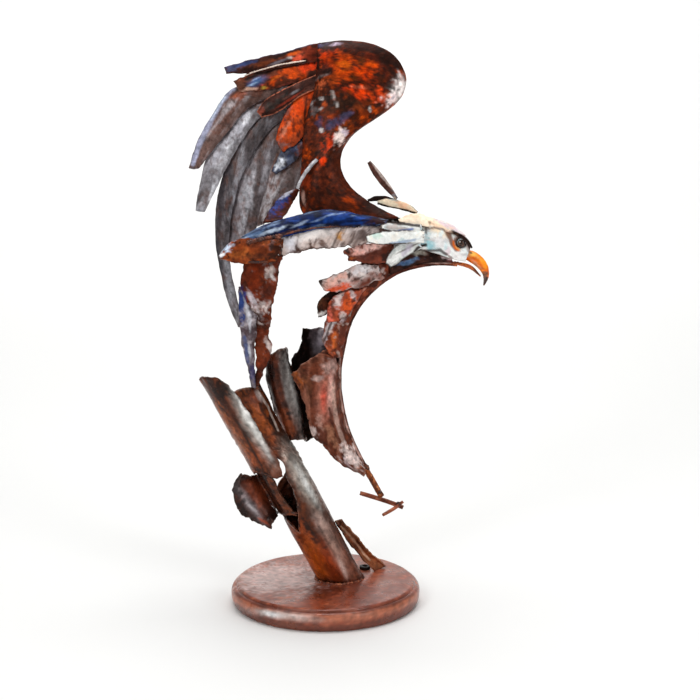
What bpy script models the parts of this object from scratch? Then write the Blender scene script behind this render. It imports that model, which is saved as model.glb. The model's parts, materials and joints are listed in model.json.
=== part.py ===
# A welded sheet-metal eagle on a torn tube trunk, standing on a round turned base.
#
# Metres, +Z up. The origin is the middle of the base's underside, the bird looks
# along +X, and the side that it is drawn from faces -Y.
#
# The base, tubes, rods and sheet have real sizes of their own. The bird is free
# form: its plates are drawn in millimetres on a board that stands through the
# base's axis, as one viewer sees them, and each point is then carried along that
# viewer's line of sight to its own depth behind the board.

import math

import bmesh
import bpy
import numpy as np

# Driving sizes, in metres
FIGURE_HEIGHT = 0.550
SHEET = 0.0016
TUBE_WALL = 0.0020
GAP = 0.0003

BASE_DIAMETER = 0.193
BASE_THICKNESS = 0.022
BASE_FOOT_DIAMETER = 0.183
BASE_NOSE_HEIGHT = 0.0125
BASE_GROOVE_DIAMETER = 0.183
BASE_GROOVE_DROP = 0.0028
BASE_FLAT_DIAMETER = 0.176
BASE_FACETS = 36

LEG_BAR_DIAMETER = 0.0058
LEG_RIB_HEIGHT = 0.0004
LEG_RIB_PITCH = 0.0050
LONG_TOE_DIAMETER = 0.0050
CROSS_TOE_DIAMETER = 0.0040
RIM_WIDTH = 0.0042
RIM_DEPTH = 0.0060
EYE_DIAMETER = 0.0078
BROW_DIAMETER = 0.0026
FOOT_RING_DIAMETER = 0.0120
FOOT_RING_HEIGHT = 0.0030
LOBE_STEP = 0.0026
RIM_STATIONS = 22

# The drawing board: millimetres at a figure height of 550 mm
BOARD_HEIGHT = 550.0
UNIT = FIGURE_HEIGHT / BOARD_HEIGHT
VIEWER_BACK = 1500.0
VIEWER_ACROSS = 25.0
VIEWER_UP = 508.0
AIM_UP = 239.5
BOARD_FOOT = 283.0

# The raised wing's depth in board millimetres: at its root, per millimetre up and
# per millimetre to the left of the root, and from one layer of feathers to the next
WING_ROOT_ACROSS = 5.0
WING_ROOT_UP = 418.0
WING_ROOT_BACK = 22.0
WING_LEAN = 0.17
WING_SWEEP = 0.13
WING_LAYER = 2.3
SADDLE_DROP = 16.0

# A feather is at its full width between these shares of its length
FEATHER_ROWS = 7
FULL_FROM = 0.35
FULL_TO = 0.62

# The flared trunk's width at its top and foot, in board millimetres
TRUNK_TOP_WIDTH = 51.0
TRUNK_FOOT_WIDTH = 44.5

BASE_TOP = BASE_THICKNESS + GAP


def clear_scene():
    for old in list(bpy.data.objects):
        bpy.data.objects.remove(old, do_unlink=True)


def paint(name, colour, roughness, metallic):
    material = bpy.data.materials.new(name)
    material.use_nodes = True
    shader = material.node_tree.nodes["Principled BSDF"]
    shader.inputs["Base Color"].default_value = (*colour, 1.0)
    shader.inputs["Roughness"].default_value = roughness
    shader.inputs["Metallic"].default_value = metallic
    return material


def sight_axes():
    """The viewer's eye, aim, right and up, in board millimetres."""
    eye = np.array((VIEWER_ACROSS, -VIEWER_BACK, VIEWER_UP))
    aim = np.array((VIEWER_ACROSS, 0.0, AIM_UP))
    ahead = (aim - eye) / np.linalg.norm(aim - eye)
    right = np.array((1.0, 0.0, 0.0))
    return eye, aim, right, np.cross(right, ahead)


def sight_line(across, up):
    """The eye and the direction in which the eye sees a point of the board."""
    eye, aim, right, above = sight_axes()
    on_board = aim + right * (across - VIEWER_ACROSS) + above * (up - BOARD_FOOT)
    return eye, on_board - eye


def seen(point):
    """A point drawn at (across, up) and set back by the third value, in metres."""
    across, up, back = point
    eye, ray = sight_line(across, up)
    spot = eye + ray * ((back + VIEWER_BACK) / ray[1])
    return np.array((spot[0] * UNIT, spot[1] * UNIT, spot[2] * UNIT + BASE_THICKNESS))


def on_base(across, up):
    """The point of the base's top that is drawn at (across, up), in metres."""
    eye, ray = sight_line(across, up)
    spot = eye + ray * (-eye[2] / ray[2])
    return np.array((spot[0] * UNIT, spot[1] * UNIT, BASE_TOP))


def smooth(points, count):
    """Evenly spaced points on a smooth curve through the given points."""
    points = np.array(points, dtype=float)
    if len(points) == 2:
        return [points[0] + (points[1] - points[0]) * k / (count - 1) for k in range(count)]
    padded = np.vstack((2 * points[0] - points[1], points, 2 * points[-1] - points[-2]))
    fine = []
    for k in range(len(points) - 1):
        a, b, c, d = padded[k:k + 4]
        for t in np.linspace(0.0, 1.0, 16, endpoint=False):
            fine.append(0.5 * (2 * b + (c - a) * t + (2 * a - 5 * b + 4 * c - d) * t ** 2
                               + (3 * b - a - 3 * c + d) * t ** 3))
    fine.append(points[-1])
    fine = np.array(fine)
    run = np.concatenate(([0.0], np.cumsum(np.linalg.norm(np.diff(fine, axis=0), axis=1))))
    stops = np.linspace(0.0, run[-1], count)
    return [np.array([np.interp(stop, run, fine[:, k]) for k in range(fine.shape[1])]) for stop in stops]


def ripple(k, seed):
    """A fixed uneven wave between about -1 and 1, for torn edges."""
    return 0.6 * math.sin(2.1 * k + seed) + 0.4 * math.sin(4.7 * k + 2.3 * seed)


def grid_normals(grid, joined):
    rows, columns = len(grid), len(grid[0])
    normals = []
    for r in range(rows):
        line = []
        for c in range(columns):
            along = grid[min(r + 1, rows - 1)][c] - grid[max(r - 1, 0)][c]
            before = grid[r][c - 1] if c else grid[r][columns - 2 if joined[r] else 0]
            after = grid[r][c + 1] if c < columns - 1 else grid[r][1 if joined[r] else c]
            normal = np.cross(along, after - before)
            line.append(normal / np.linalg.norm(normal))
        normals.append(line)
    return normals


def finish_mesh(name, bm, material):
    bmesh.ops.recalc_face_normals(bm, faces=bm.faces)
    mesh = bpy.data.meshes.new(name)
    bm.to_mesh(mesh)
    bm.free()
    mesh.materials.append(material)
    mesh.shade_smooth()
    mesh.set_sharp_from_angle(angle=math.radians(40))
    piece = bpy.data.objects.new(name, mesh)
    bpy.context.scene.collection.objects.link(piece)
    return piece


def sheet(name, grid, wall, material, joined=None):
    """A plate of even thickness about a grid of points. Joined rows close on themselves."""
    rows, columns = len(grid), len(grid[0])
    joined = joined or [False] * rows
    normals = grid_normals(grid, joined)
    bm = bmesh.new()
    sides = []
    for shift in (0.5 * wall, -0.5 * wall):
        side = []
        for r in range(rows):
            line = [bm.verts.new(grid[r][c] + normals[r][c] * shift) for c in range(columns - 1)]
            last = line[0] if joined[r] else bm.verts.new(grid[r][-1] + normals[r][-1] * shift)
            side.append(line + [last])
        sides.append(side)
    front, back = sides
    for r in range(rows - 1):
        for c in range(columns - 1):
            for side in sides:
                corners = (side[r][c], side[r][c + 1], side[r + 1][c + 1], side[r + 1][c])
                bm.faces.new(list(dict.fromkeys(corners)))
        for c in (0, columns - 1):
            if not (joined[r] and joined[r + 1]):
                bm.faces.new((front[r][c], front[r + 1][c], back[r + 1][c], back[r][c]))
    for r in (0, rows - 1):
        for c in range(columns - 1):
            bm.faces.new((front[r][c], front[r][c + 1], back[r][c + 1], back[r][c]))
    return finish_mesh(name, bm, material)


def solid(name, rings, material):
    """A closed body through rings of equally many points, capped at both ends."""
    bm = bmesh.new()
    loops = [[bm.verts.new(point) for point in ring] for ring in rings]
    for lower, upper in zip(loops, loops[1:]):
        for k in range(len(lower)):
            bm.faces.new((lower[k - 1], lower[k], upper[k], upper[k - 1]))
    bm.faces.new(loops[0])
    bm.faces.new(loops[-1])
    return finish_mesh(name, bm, material)


def plate(name, first, second, material, camber=3.0, wrap=50, rows=6, columns=3,
          wall=SHEET, tear=(0, 0), far=False):
    """A plate between two drawn edges, arched towards the viewer by its camber.

    wrap is half the arch's opening angle: 90 makes a half pipe. tear is how
    unevenly the plate's two ends are torn, in millimetres. far puts the same
    plate on the other side of the bird.
    """
    turn = math.radians(wrap)
    starts = smooth(first, rows)
    ends = smooth(second, rows)
    grid = []
    for r in range(rows):
        line = []
        for c in range(columns + 1):
            angle = turn * (2 * c / columns - 1)
            share = 0.5 + 0.5 * math.sin(angle) / math.sin(turn)
            arch = camber * (math.cos(angle) - math.cos(turn)) / (1 - math.cos(turn))
            point = starts[r] * (1 - share) + ends[r] * share
            if r in (0, rows - 1):
                onward = starts[1] - starts[0] if r == 0 else starts[-2] - starts[-1]
                depth_tear = tear[0] if r == 0 else tear[1]
                point = point + onward / np.linalg.norm(onward) * depth_tear * ripple(c, len(name))
            point[2] -= arch
            spot = seen(point)
            if far:
                spot[1] = -spot[1]
            line.append(spot)
        grid.append(line)
    return sheet(name, grid, wall, material)


def feather(name, spine, width, material, root=0.7, tip=0.25, camber=1.5, far=False):
    """A feather along a drawn spine. root and tip are the shares of its width there."""
    rows = FEATHER_ROWS
    line = smooth(spine, rows)
    first, second = [], []
    for r, point in enumerate(line):
        ahead = line[min(r + 1, rows - 1)] - line[max(r - 1, 0)]
        side = np.array((-ahead[1], ahead[0], 0.0))
        side = side / np.linalg.norm(side)
        share = r / (rows - 1)
        swell = root + (1 - root) * min(1.0, share / FULL_FROM)
        if share > FULL_TO:
            past = (share - FULL_TO) / (1 - FULL_TO)
            swell *= tip + (1 - tip) * math.sqrt(max(0.0, 1 - past ** 2))
        first.append(point + side * 0.5 * width * swell)
        second.append(point - side * 0.5 * width * swell)
    return plate(name, first, second, material, camber=camber, wrap=45, rows=rows, far=far)


def bar(name, path, diameters, material, sides=10):
    """A round bar along a path in metres, with a diameter for each of its rows."""
    rows = len(diameters)
    line = smooth(path, rows)
    rings = []
    for r, point in enumerate(line):
        ahead = line[min(r + 1, rows - 1)] - line[max(r - 1, 0)]
        ahead = ahead / np.linalg.norm(ahead)
        one = np.cross(ahead, (0.0, 1.0, 0.0))
        one = one / np.linalg.norm(one)
        two = np.cross(ahead, one)
        radius = 0.5 * diameters[r]
        rings.append([point + radius * (one * math.cos(a) + two * math.sin(a))
                      for a in np.arange(sides) * 2 * math.pi / sides])
    return solid(name, rings, material)


def quarter(start, end, steps, flat_first):
    """Points of a quarter ellipse between two profile points, without the first one."""
    line = []
    for k in range(1, steps + 1):
        angle = 0.5 * math.pi * k / steps
        slow, fast = 1 - math.cos(angle), math.sin(angle)
        one, two = (fast, slow) if flat_first else (slow, fast)
        line.append((start[0] + (end[0] - start[0]) * one, start[1] + (end[1] - start[1]) * two))
    return line


def base(material):
    """The turned disc: a bulged nose, a groove over it and a soft edge round the flat top."""
    foot = (0.5 * BASE_FOOT_DIAMETER, 0.0)
    nose = (0.5 * BASE_DIAMETER, BASE_NOSE_HEIGHT)
    groove = (0.5 * BASE_GROOVE_DIAMETER, BASE_THICKNESS - BASE_GROOVE_DROP)
    flat = (0.5 * BASE_FLAT_DIAMETER, BASE_THICKNESS)
    profile = [foot] + quarter(foot, nose, 3, True) + quarter(nose, groove, 3, False)
    profile += quarter(groove, flat, 3, False)
    turns = np.arange(BASE_FACETS) * 2 * math.pi / BASE_FACETS
    rings = [[(r * math.cos(a), r * math.sin(a), z) for a in turns] for r, z in profile]
    solid("base_disc", rings, material)


# Trunk: its lobes are cut from one flared tube, as shares of the tube's length
# from its top middle to its foot and angles from the viewer's side to the right
TRUNK_TOP = (-100, 265, -4)
TRUNK_FOOT = (15.8, 55.4, 6)


def trunk_point(share, degrees, outward):
    top, foot = seen(TRUNK_TOP), seen(TRUNK_FOOT)
    axis = (foot - top) / np.linalg.norm(foot - top)
    right = np.cross((0.0, -1.0, 0.0), axis)
    right = right / np.linalg.norm(right)
    forward = np.cross(axis, right)
    radius = 0.5 * UNIT * (TRUNK_TOP_WIDTH + (TRUNK_FOOT_WIDTH - TRUNK_TOP_WIDTH) * share)
    angle = math.radians(degrees)
    away = right * math.sin(angle) + forward * math.cos(angle)
    return top + (foot - top) * share + away * (radius - 0.5 * TUBE_WALL + outward)


def trunk_share_at(height, degrees):
    """Where the tube's side at one angle comes down to a height."""
    high, low = trunk_point(0.0, degrees, 0.0), trunk_point(1.0, degrees, 0.0)
    return (high[2] - height) / (high[2] - low[2])


def foot_height():
    """The height of the wall's middle at the foot, so that its slanted edge clears the base."""
    top, foot = seen(TRUNK_TOP), seen(TRUNK_FOOT)
    lean = abs(foot[0] - top[0]) / np.linalg.norm(foot - top)
    return BASE_TOP + 0.6 * TUBE_WALL * lean


def lobe(name, tops, bottoms, lefts, rights, material, outward=0.0, rows=12, columns=8, on_foot=False):
    """A piece of the flared tube between torn ends and two slit edges.

    tops and bottoms are shares of the tube's length from the left edge to the
    right one. lefts and rights are angles from the top end to the bottom one.
    """
    def pick(values, share):
        return float(np.interp(share, np.linspace(0, 1, len(values)), values))

    grid, joined = [], []
    for r in range(rows):
        down = r / (rows - 1)
        left, right = pick(lefts, down), pick(rights, down)
        closed = right - left > 359.5
        line = []
        for c in range(columns + 1):
            over = c / columns
            degrees = left + (right - left) * over
            top = pick(tops, over)
            bottom = trunk_share_at(foot_height(), degrees) if on_foot else pick(bottoms, over)
            line.append(trunk_point(top + (bottom - top) * down, degrees, outward))
        if closed:
            line[-1] = line[0]
        grid.append(line)
        joined.append(closed)
    return sheet(name, grid, TUBE_WALL, material, joined)


def trunk(bark, rust):
    lobe("trunk_tube", (0.115, 0.085, 0.085, 0.09, 0.10, 0.11, 0.12, 0.115), (1, 1),
         (-18, -18, -18, -18, -10, 28, 9, 11, 3, -17, -32, -32, -32, -32, -32),
         (75, 75, 73, 70, 80, 104, 163, 214, 246, 306, 328, 328, 328, 328, 328),
         bark, rows=15, columns=12, on_foot=True)
    lobe("trunk_left_lobe", (0.008, 0.003, -0.012, -0.02, -0.015, 0.0, 0.085),
         (0.429, 0.427, 0.427, 0.437, 0.472, 0.479), (-112, -104, -98, -96, -96), (4, 6, 9, 14, 9), bark,
         outward=LOBE_STEP, rows=8, columns=8)
    lobe("trunk_side_strip", (0.41, 0.412, 0.418, 0.445), (0.626, 0.631, 0.634, 0.64, 0.652),
         (-90, -88, -86, -86), (-20, -22, -23, -19, -12), rust, rows=7, columns=4)
    plate("trunk_right_lobe",
          [(-59, 278, 8), (-60, 265, 8), (-55, 237, 8), (-46, 213, 8), (-39.6, 191.4, 7)],
          [(-39, 285, 14), (-33, 261, 15), (-25, 233, 15), (-21, 208, 14), (-18.5, 192.5, 13)],
          bark, camber=13, wrap=80, rows=8, columns=6, wall=TUBE_WALL, tear=(2, 1.5))
    plate("trunk_shard", [(-68.6, 157.4, 3), (-63.3, 148.4, 3), (-57.4, 138, 3.5), (-47.8, 121.5, 4)],
          [(-85, 159, -14), (-92, 147, -9), (-89, 127, -8), (-76, 113.5, -9), (-53, 104, -12)],
          rust, camber=8, wrap=70, rows=7, columns=5, tear=(1.2, 1))
    plate("trunk_twig", [(16, 113.5, 8), (25, 104, 10), (40, 86, 22), (60.5, 67, 38)],
          [(10.2, 112, 10), (20, 95.5, 13), (33, 79.5, 20), (50, 63, 26)],
          rust, camber=-4.0, wrap=75, rows=8, columns=4)


def foot_ring(material):
    """A small ring left on the base beside the twig."""
    middle = on_base(40, 64.2)
    outer = 0.5 * FOOT_RING_DIAMETER
    inner = 0.5 * outer
    turns = np.arange(12) * 2 * math.pi / 12
    bm = bmesh.new()
    loops = []
    for radius, height in ((outer, 0), (outer, FOOT_RING_HEIGHT), (inner, FOOT_RING_HEIGHT), (inner, 0)):
        loops.append([bm.verts.new(middle + (radius * math.cos(a), radius * math.sin(a), height))
                      for a in turns])
    for one, two in zip(loops, loops[1:] + loops[:1]):
        for k in range(len(turns)):
            bm.faces.new((one[k - 1], one[k], two[k], two[k - 1]))
    finish_mesh("foot_ring", bm, material)


def leg(bar_paint, toe_paint):
    path = [seen((40.5, 164, 0)), seen((56.6, 136.4, 0))]
    length = np.linalg.norm(path[1] - path[0])
    ribs = int(length / LEG_RIB_PITCH)
    crest, trough = LEG_BAR_DIAMETER + 2 * LEG_RIB_HEIGHT, LEG_BAR_DIAMETER
    bar("leg_bar", path, [trough, crest] * ribs + [trough], bar_paint,
        sides=8)
    bar("long_toe", [seen((35, 140, 6)), seen((52, 135, 4.4)), seen((67, 130, 3.4)), seen((78, 125.5, 3))],
        [0.9 * LONG_TOE_DIAMETER] + [LONG_TOE_DIAMETER] * 5 + [0.9 * LONG_TOE_DIAMETER], toe_paint)
    bar("cross_toe", [seen((58, 118, -13)), seen((70, 125, -4.2)), seen((78, 131.5, -0.8))],
        [0.85 * CROSS_TOE_DIAMETER] + [CROSS_TOE_DIAMETER] * 4 + [0.85 * CROSS_TOE_DIAMETER], toe_paint,
        sides=8)


# The bird's front rim, from the lower beak round the breast to the leg
RIM_LINE = ((132.5, 368.8, 0), (115, 369.8, 0), (95, 367.5, 0), (75, 362, 0), (59, 352.5, 0), (45, 341, 0),
            (34, 328, 0), (25, 311, 0), (20, 296, 0), (17, 279, 0), (14.4, 261, 0), (15, 241, 0),
            (18, 221, 0), (23.6, 201, 0), (31.4, 182, 0),
            (39.5, 167.5, 0))


def front_rim(material):
    """The narrow band on edge that closes the breast in front."""
    line = smooth(RIM_LINE, RIM_STATIONS)
    rings = []
    for r, point in enumerate(line):
        ahead = line[min(r + 1, RIM_STATIONS - 1)] - line[max(r - 1, 0)]
        side = np.array((-ahead[1], ahead[0], 0.0)) / np.linalg.norm(ahead)
        half_width = 0.5 * RIM_WIDTH / UNIT
        half_depth = 0.5 * RIM_DEPTH / UNIT
        rings.append([seen(point + side * half_width * a + np.array((0, 0, half_depth * b)))
                      for a, b in ((-1, -0.5), (-0.4, -1), (1, -0.7), (1, 0.7), (-0.4, 1), (-1, 0.5))])
    solid("breast_rim", rings, material)


def breast(dark, red, pink):
    """The body's plates, nearest first, then the far side that shows through."""
    plate("thigh_plate",
          [(-34, 259, -12), (-26, 245, -15), (-19, 231, -16), (-17, 215, -16), (-15, 201, -15),
           (1, 185, -12), (18, 167, -7),
           (39, 158, -3.5)],
          [(0, 284, -12), (6, 281.5, -10.5), (12.5, 275, -7), (13.6, 258, -5), (14.4, 241, -4.8),
           (16.6, 221, -4.6), (22, 201, -4.6), (29.8, 183, -4.6), (38.4, 167, -4.6)],
          red, camber=12, wrap=55, rows=10, columns=5, tear=(0.8, 1.2))
    plate("breast_plate", [(3, 320, -18), (-2, 305, -17), (-3, 291, -16), (6, 276, -15.5)],
          [(27, 324, -10), (22.5, 308, -8.5), (18.5, 292, -8), (16.5, 276, -8)], red, camber=4, tear=(1, 1))
    plate("breast_scale_low", [(15, 340, -26), (6, 334, -27), (2, 323, -26), (2, 310, -22)],
          [(41, 345, -11), (33, 335, -12), (27, 325, -14), (22, 315, -14.2)], pink, camber=4, tear=(0, 1))
    plate("breast_scale_dark", [(12, 343.5, -15), (0, 339, -17), (-7, 330, -17), (-9, 321, -17),
                                (-7, 316, -16)],
          [(18, 341, -14), (11, 331, -15), (6, 325, -16), (2, 321, -16), (0, 318, -16)], dark, camber=2)
    plate("breast_scale_middle", [(53, 367, -15), (35, 369, -24), (18, 362, -31), (5, 356, -33),
                                  (-6, 352, -33)],
          [(58, 355, -10), (41, 348, -20), (25, 344, -29), (11, 341, -33), (0, 341, -33)],
          pink, camber=4, rows=9, columns=4, tear=(0, 1.5))
    plate("breast_scale_top", [(67, 390, -15), (51, 390, -20), (35, 390, -26), (24, 384, -31),
                               (19, 381, -32)],
          [(63, 371.5, -14), (53, 370, -17), (41, 371, -22), (29, 372, -28), (23, 373, -30)],
          pink, camber=4, rows=8, columns=4, tear=(0, 1.5))
    throat_top = [(124.5, 377.4, -1.9), (105, 382.5, -3), (89, 384.5, -3), (77, 383, -4.4)]
    throat_foot = [(128, 371, -4.6), (105, 371.5, -4.6), (89, 368.5, -4.6), (78, 365, -4.6)]
    plate("throat_plate", throat_top + [(65.3, 374.5, -6)], throat_foot + [(65.3, 358.8, -4.6)], dark,
          camber=1.5)
    plate("throat_plate_far", throat_top + [(68.4, 376.5, -6)], throat_foot + [(68.4, 360.7, -4.6)], dark,
          camber=1.5, far=True)
    plate("neck_web", [(62.8, 370, -6.5), (47, 367, -10), (28, 359, -12), (15, 343, -11), (10, 327, -8)],
          [(63.8, 357.1, -4.4), (52.5, 348.5, -4.4), (39.5, 336, -4.4), (29.5, 321.5, -4.4),
           (23, 306, -4.4)], dark,
          camber=1.5, rows=8)
    plate("inner_plate", [(-23, 302, 19), (-25, 283, 19), (-35, 271, 19), (-33, 253, 19), (-26, 233, 19),
                          (-20, 193.5, 18)],
          [(19, 311, 4.6), (16.5, 283, 4.6), (14, 265, 4.6), (14, 247, 4.6), (16, 228, 4.6),
           (22, 199, 4.6)],
          dark, camber=-13, wrap=60, rows=9, columns=4, tear=(3, 1.5))
    plate("neck_plate_far", [(68, 409, 13), (61, 400, 18), (51, 387, 24), (41, 375, 27), (27, 361, 29),
                             (16, 347, 29), (11, 334, 26), (7, 323, 23),
                             (6, 315, 20)],
          [(66.3, 359.5, 4.4), (59, 354, 4.4), (52, 348.5, 4.4), (45, 342, 4.4), (39, 336, 4.4),
           (33, 328, 4.4), (31, 324, 4.4), (27.5, 319, 4.4),
           (25, 313.5, 4.4)],
          dark, camber=-5, rows=9, columns=4, tear=(0, 2))


def neck_back(dark):
    """The saddle over the shoulders, between the wings' roots."""
    rows = smooth(((-19, 408.5, 0), (5, 414.5, 0), (30, 411.5, 0), (55, 408.5, 0), (73, 406.5, 0)), 6)
    widths = smooth(((36, 20), (33, 20), (28, 19), (20, 15), (10, 9)), 6)
    grid = []
    for point, (near, far) in zip(rows, widths):
        line = []
        for angle in np.radians(np.linspace(-70, 70, 6)):
            reach = near if angle < 0 else far
            across, up = point[0], point[1] - SADDLE_DROP * (1 - math.cos(angle))
            line.append(seen((across, up, reach * math.sin(angle))))
        grid.append(line)
    sheet("shoulder_saddle", grid, SHEET, dark)


# Head stations: crown, lower edge and half width, from the nape to the beak
HEAD = ((79, 415,0, 83, 388,0, 11.0), (89, 417.2,0, 91, 383.5,0, 13.0), (101, 417,0, 102, 380,0, 14.0),
        (113, 414.2,0, 113, 377,0, 14.3), (124, 410,0, 122, 373.5,0, 13.3),
        (133, 405,0, 129, 371.5,0, 11.8), (140.5, 398.5,0, 134.5, 371,0, 10.0),
        (146, 388,0, 140, 371,0, 8.2))
HEAD_OPENING = 150


def head_spot(station, degrees):
    crown, jaw, half_width = np.array(station[:3]), np.array(station[3:6]), station[6]
    angle = math.radians(degrees)
    spot = 0.5 * (crown + jaw) + 0.5 * (crown - jaw) * math.cos(angle)
    spot[2] -= half_width * math.sin(angle)
    return seen(spot)


def head(white, dark, eye_paint, horn):
    angles = np.linspace(-HEAD_OPENING, HEAD_OPENING, 11)
    stations = smooth(HEAD, 8)
    sheet("head_shell", [[head_spot(station, angle) for angle in angles] for station in stations],
          SHEET, white)
    for side, name in ((-1, "near"), (1, "far")):
        middle = seen((136.5, 390, -12.3))
        middle[1] *= -side
        radius = 0.5 * EYE_DIAMETER
        rings = []
        for share in (0.15, 0.5, 0.8, 0.97):
            reach = radius * math.sqrt(1 - share ** 2) if share > 0.15 else radius
            depth = (share - 0.15) * 0.55 * radius
            rings.append([middle + (reach * math.cos(a), side * depth, reach * math.sin(a))
                          for a in np.arange(10) * 2 * math.pi / 10])
        solid("eye_" + name, rings, eye_paint)
        brow = [seen(point) for point in ((120, 402, -13.6), (129, 400.7, -14.5), (137, 397, -14.1),
                                          (143, 392, -12.6),
                                          (147, 385, -10.6))]
        for spot in brow:
            spot[1] *= -side
        bar("brow_" + name, brow, [0.5 * BROW_DIAMETER] + [BROW_DIAMETER] * 5 + [0.6 * BROW_DIAMETER],
            dark, sides=6)
    beak(horn)


def beak(horn):
    """The hooked upper beak and the lower one, each a closed form tapering to its tip."""
    upper = smooth(((139.5, 379.2, 5.0, 5.6), (147, 376.6, 6.2, 6.4), (154.5, 371.4, 6.2, 5.9),
                    (160.3, 363.5, 4.6, 4.4), (161, 355.5, 2.9, 2.8),
                    (158.5, 347.5, 0.7, 0.7)), 8)
    lower = smooth(((134.5, 368.9, 1.9, 5.0), (142, 367.7, 2.3, 5.0), (149, 363.7, 2.0, 4.0),
                    (155.5, 356.8, 0.7, 1.6)), 6)
    for name, line, corners in (("beak_upper", upper, 10), ("beak_lower", lower, 8)):
        rings = []
        for r, (across, up, half_height, half_width) in enumerate(line):
            ahead = line[min(r + 1, len(line) - 1)][:2] - line[max(r - 1, 0)][:2]
            side = np.array((-ahead[1], ahead[0])) / np.linalg.norm(ahead)
            rings.append([seen((across + side[0] * half_height * math.cos(a),
                                up + side[1] * half_height * math.cos(a), half_width * math.sin(a)))
                          for a in np.arange(corners) * 2 * math.pi / corners])
        solid(name, rings, horn)


def head_feathers(white, cream, dark):
    """The crest, the nape feathers and the overlapping feathers of the cheek."""
    feather("crest_upright", [(71.6, 434.4, 0.2), (63, 445.5, -1), (53, 458, -2.5),
                              (44, 471, -3)], 7, dark, root=0.25,
            tip=0.3, camber=1)
    feather("crest_dark", [(73, 431, 4.5), (63, 434, 4.5), (53, 435.2, 4.8),
                           (43, 433, 5)], 4.5, dark, root=0.7,
            tip=0.3, camber=0.6)
    feather("crest_cream", [(92.5, 420, 1.2), (81, 425.8, 1.2), (67, 429.8, 1.2),
                            (52.5, 430.7, 1.2)], 8.5, cream,
            root=0.25, tip=0.3, camber=1.2)
    plate("nape_feather", [(99, 417.6, -6), (89, 418.6, -9.5), (80, 416.5, -12), (74, 413, -13)],
          [(105, 405, -18.5), (95, 406.5, -18), (84, 407.5, -17), (75, 409.5, -15)],
          cream, camber=2, rows=6)
    for far in (False, True):
        side = "_far" if far else ""
        feather("cheek_feather_top" + side, [(96, 404.5, -19.5), (83, 404.7, -23.5), (70, 406, -28),
                                             (56, 406.5, -35)],
                9.5, white, root=0.8, tip=0.3, camber=1, far=far)
        feather("cheek_feather_middle" + side,
                [(99, 396, -22), (83, 396, -26), (63, 395.2, -34), (41, 394, -41)],
                13, white, root=0.8, tip=0.35, camber=1.6, far=far)
        feather("cheek_feather_low" + side,
                [(95, 390, -14.3), (84, 386, -18.2), (72, 378, -23), (63, 368, -25)],
                14, white, root=0.75, tip=0.4, camber=1.6, far=far)


def wing_back(across, up, layer):
    """Depth of the raised wing's form at a drawn place, a layer being one plate."""
    rise = max(0.0, up - WING_ROOT_UP)
    left = max(0.0, WING_ROOT_ACROSS - across)
    return WING_ROOT_BACK + WING_LEAN * rise + WING_SWEEP * left + WING_LAYER * layer


def on_wing(layer, *places):
    return [(across, up, wing_back(across, up, layer)) for across, up in places]


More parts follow.
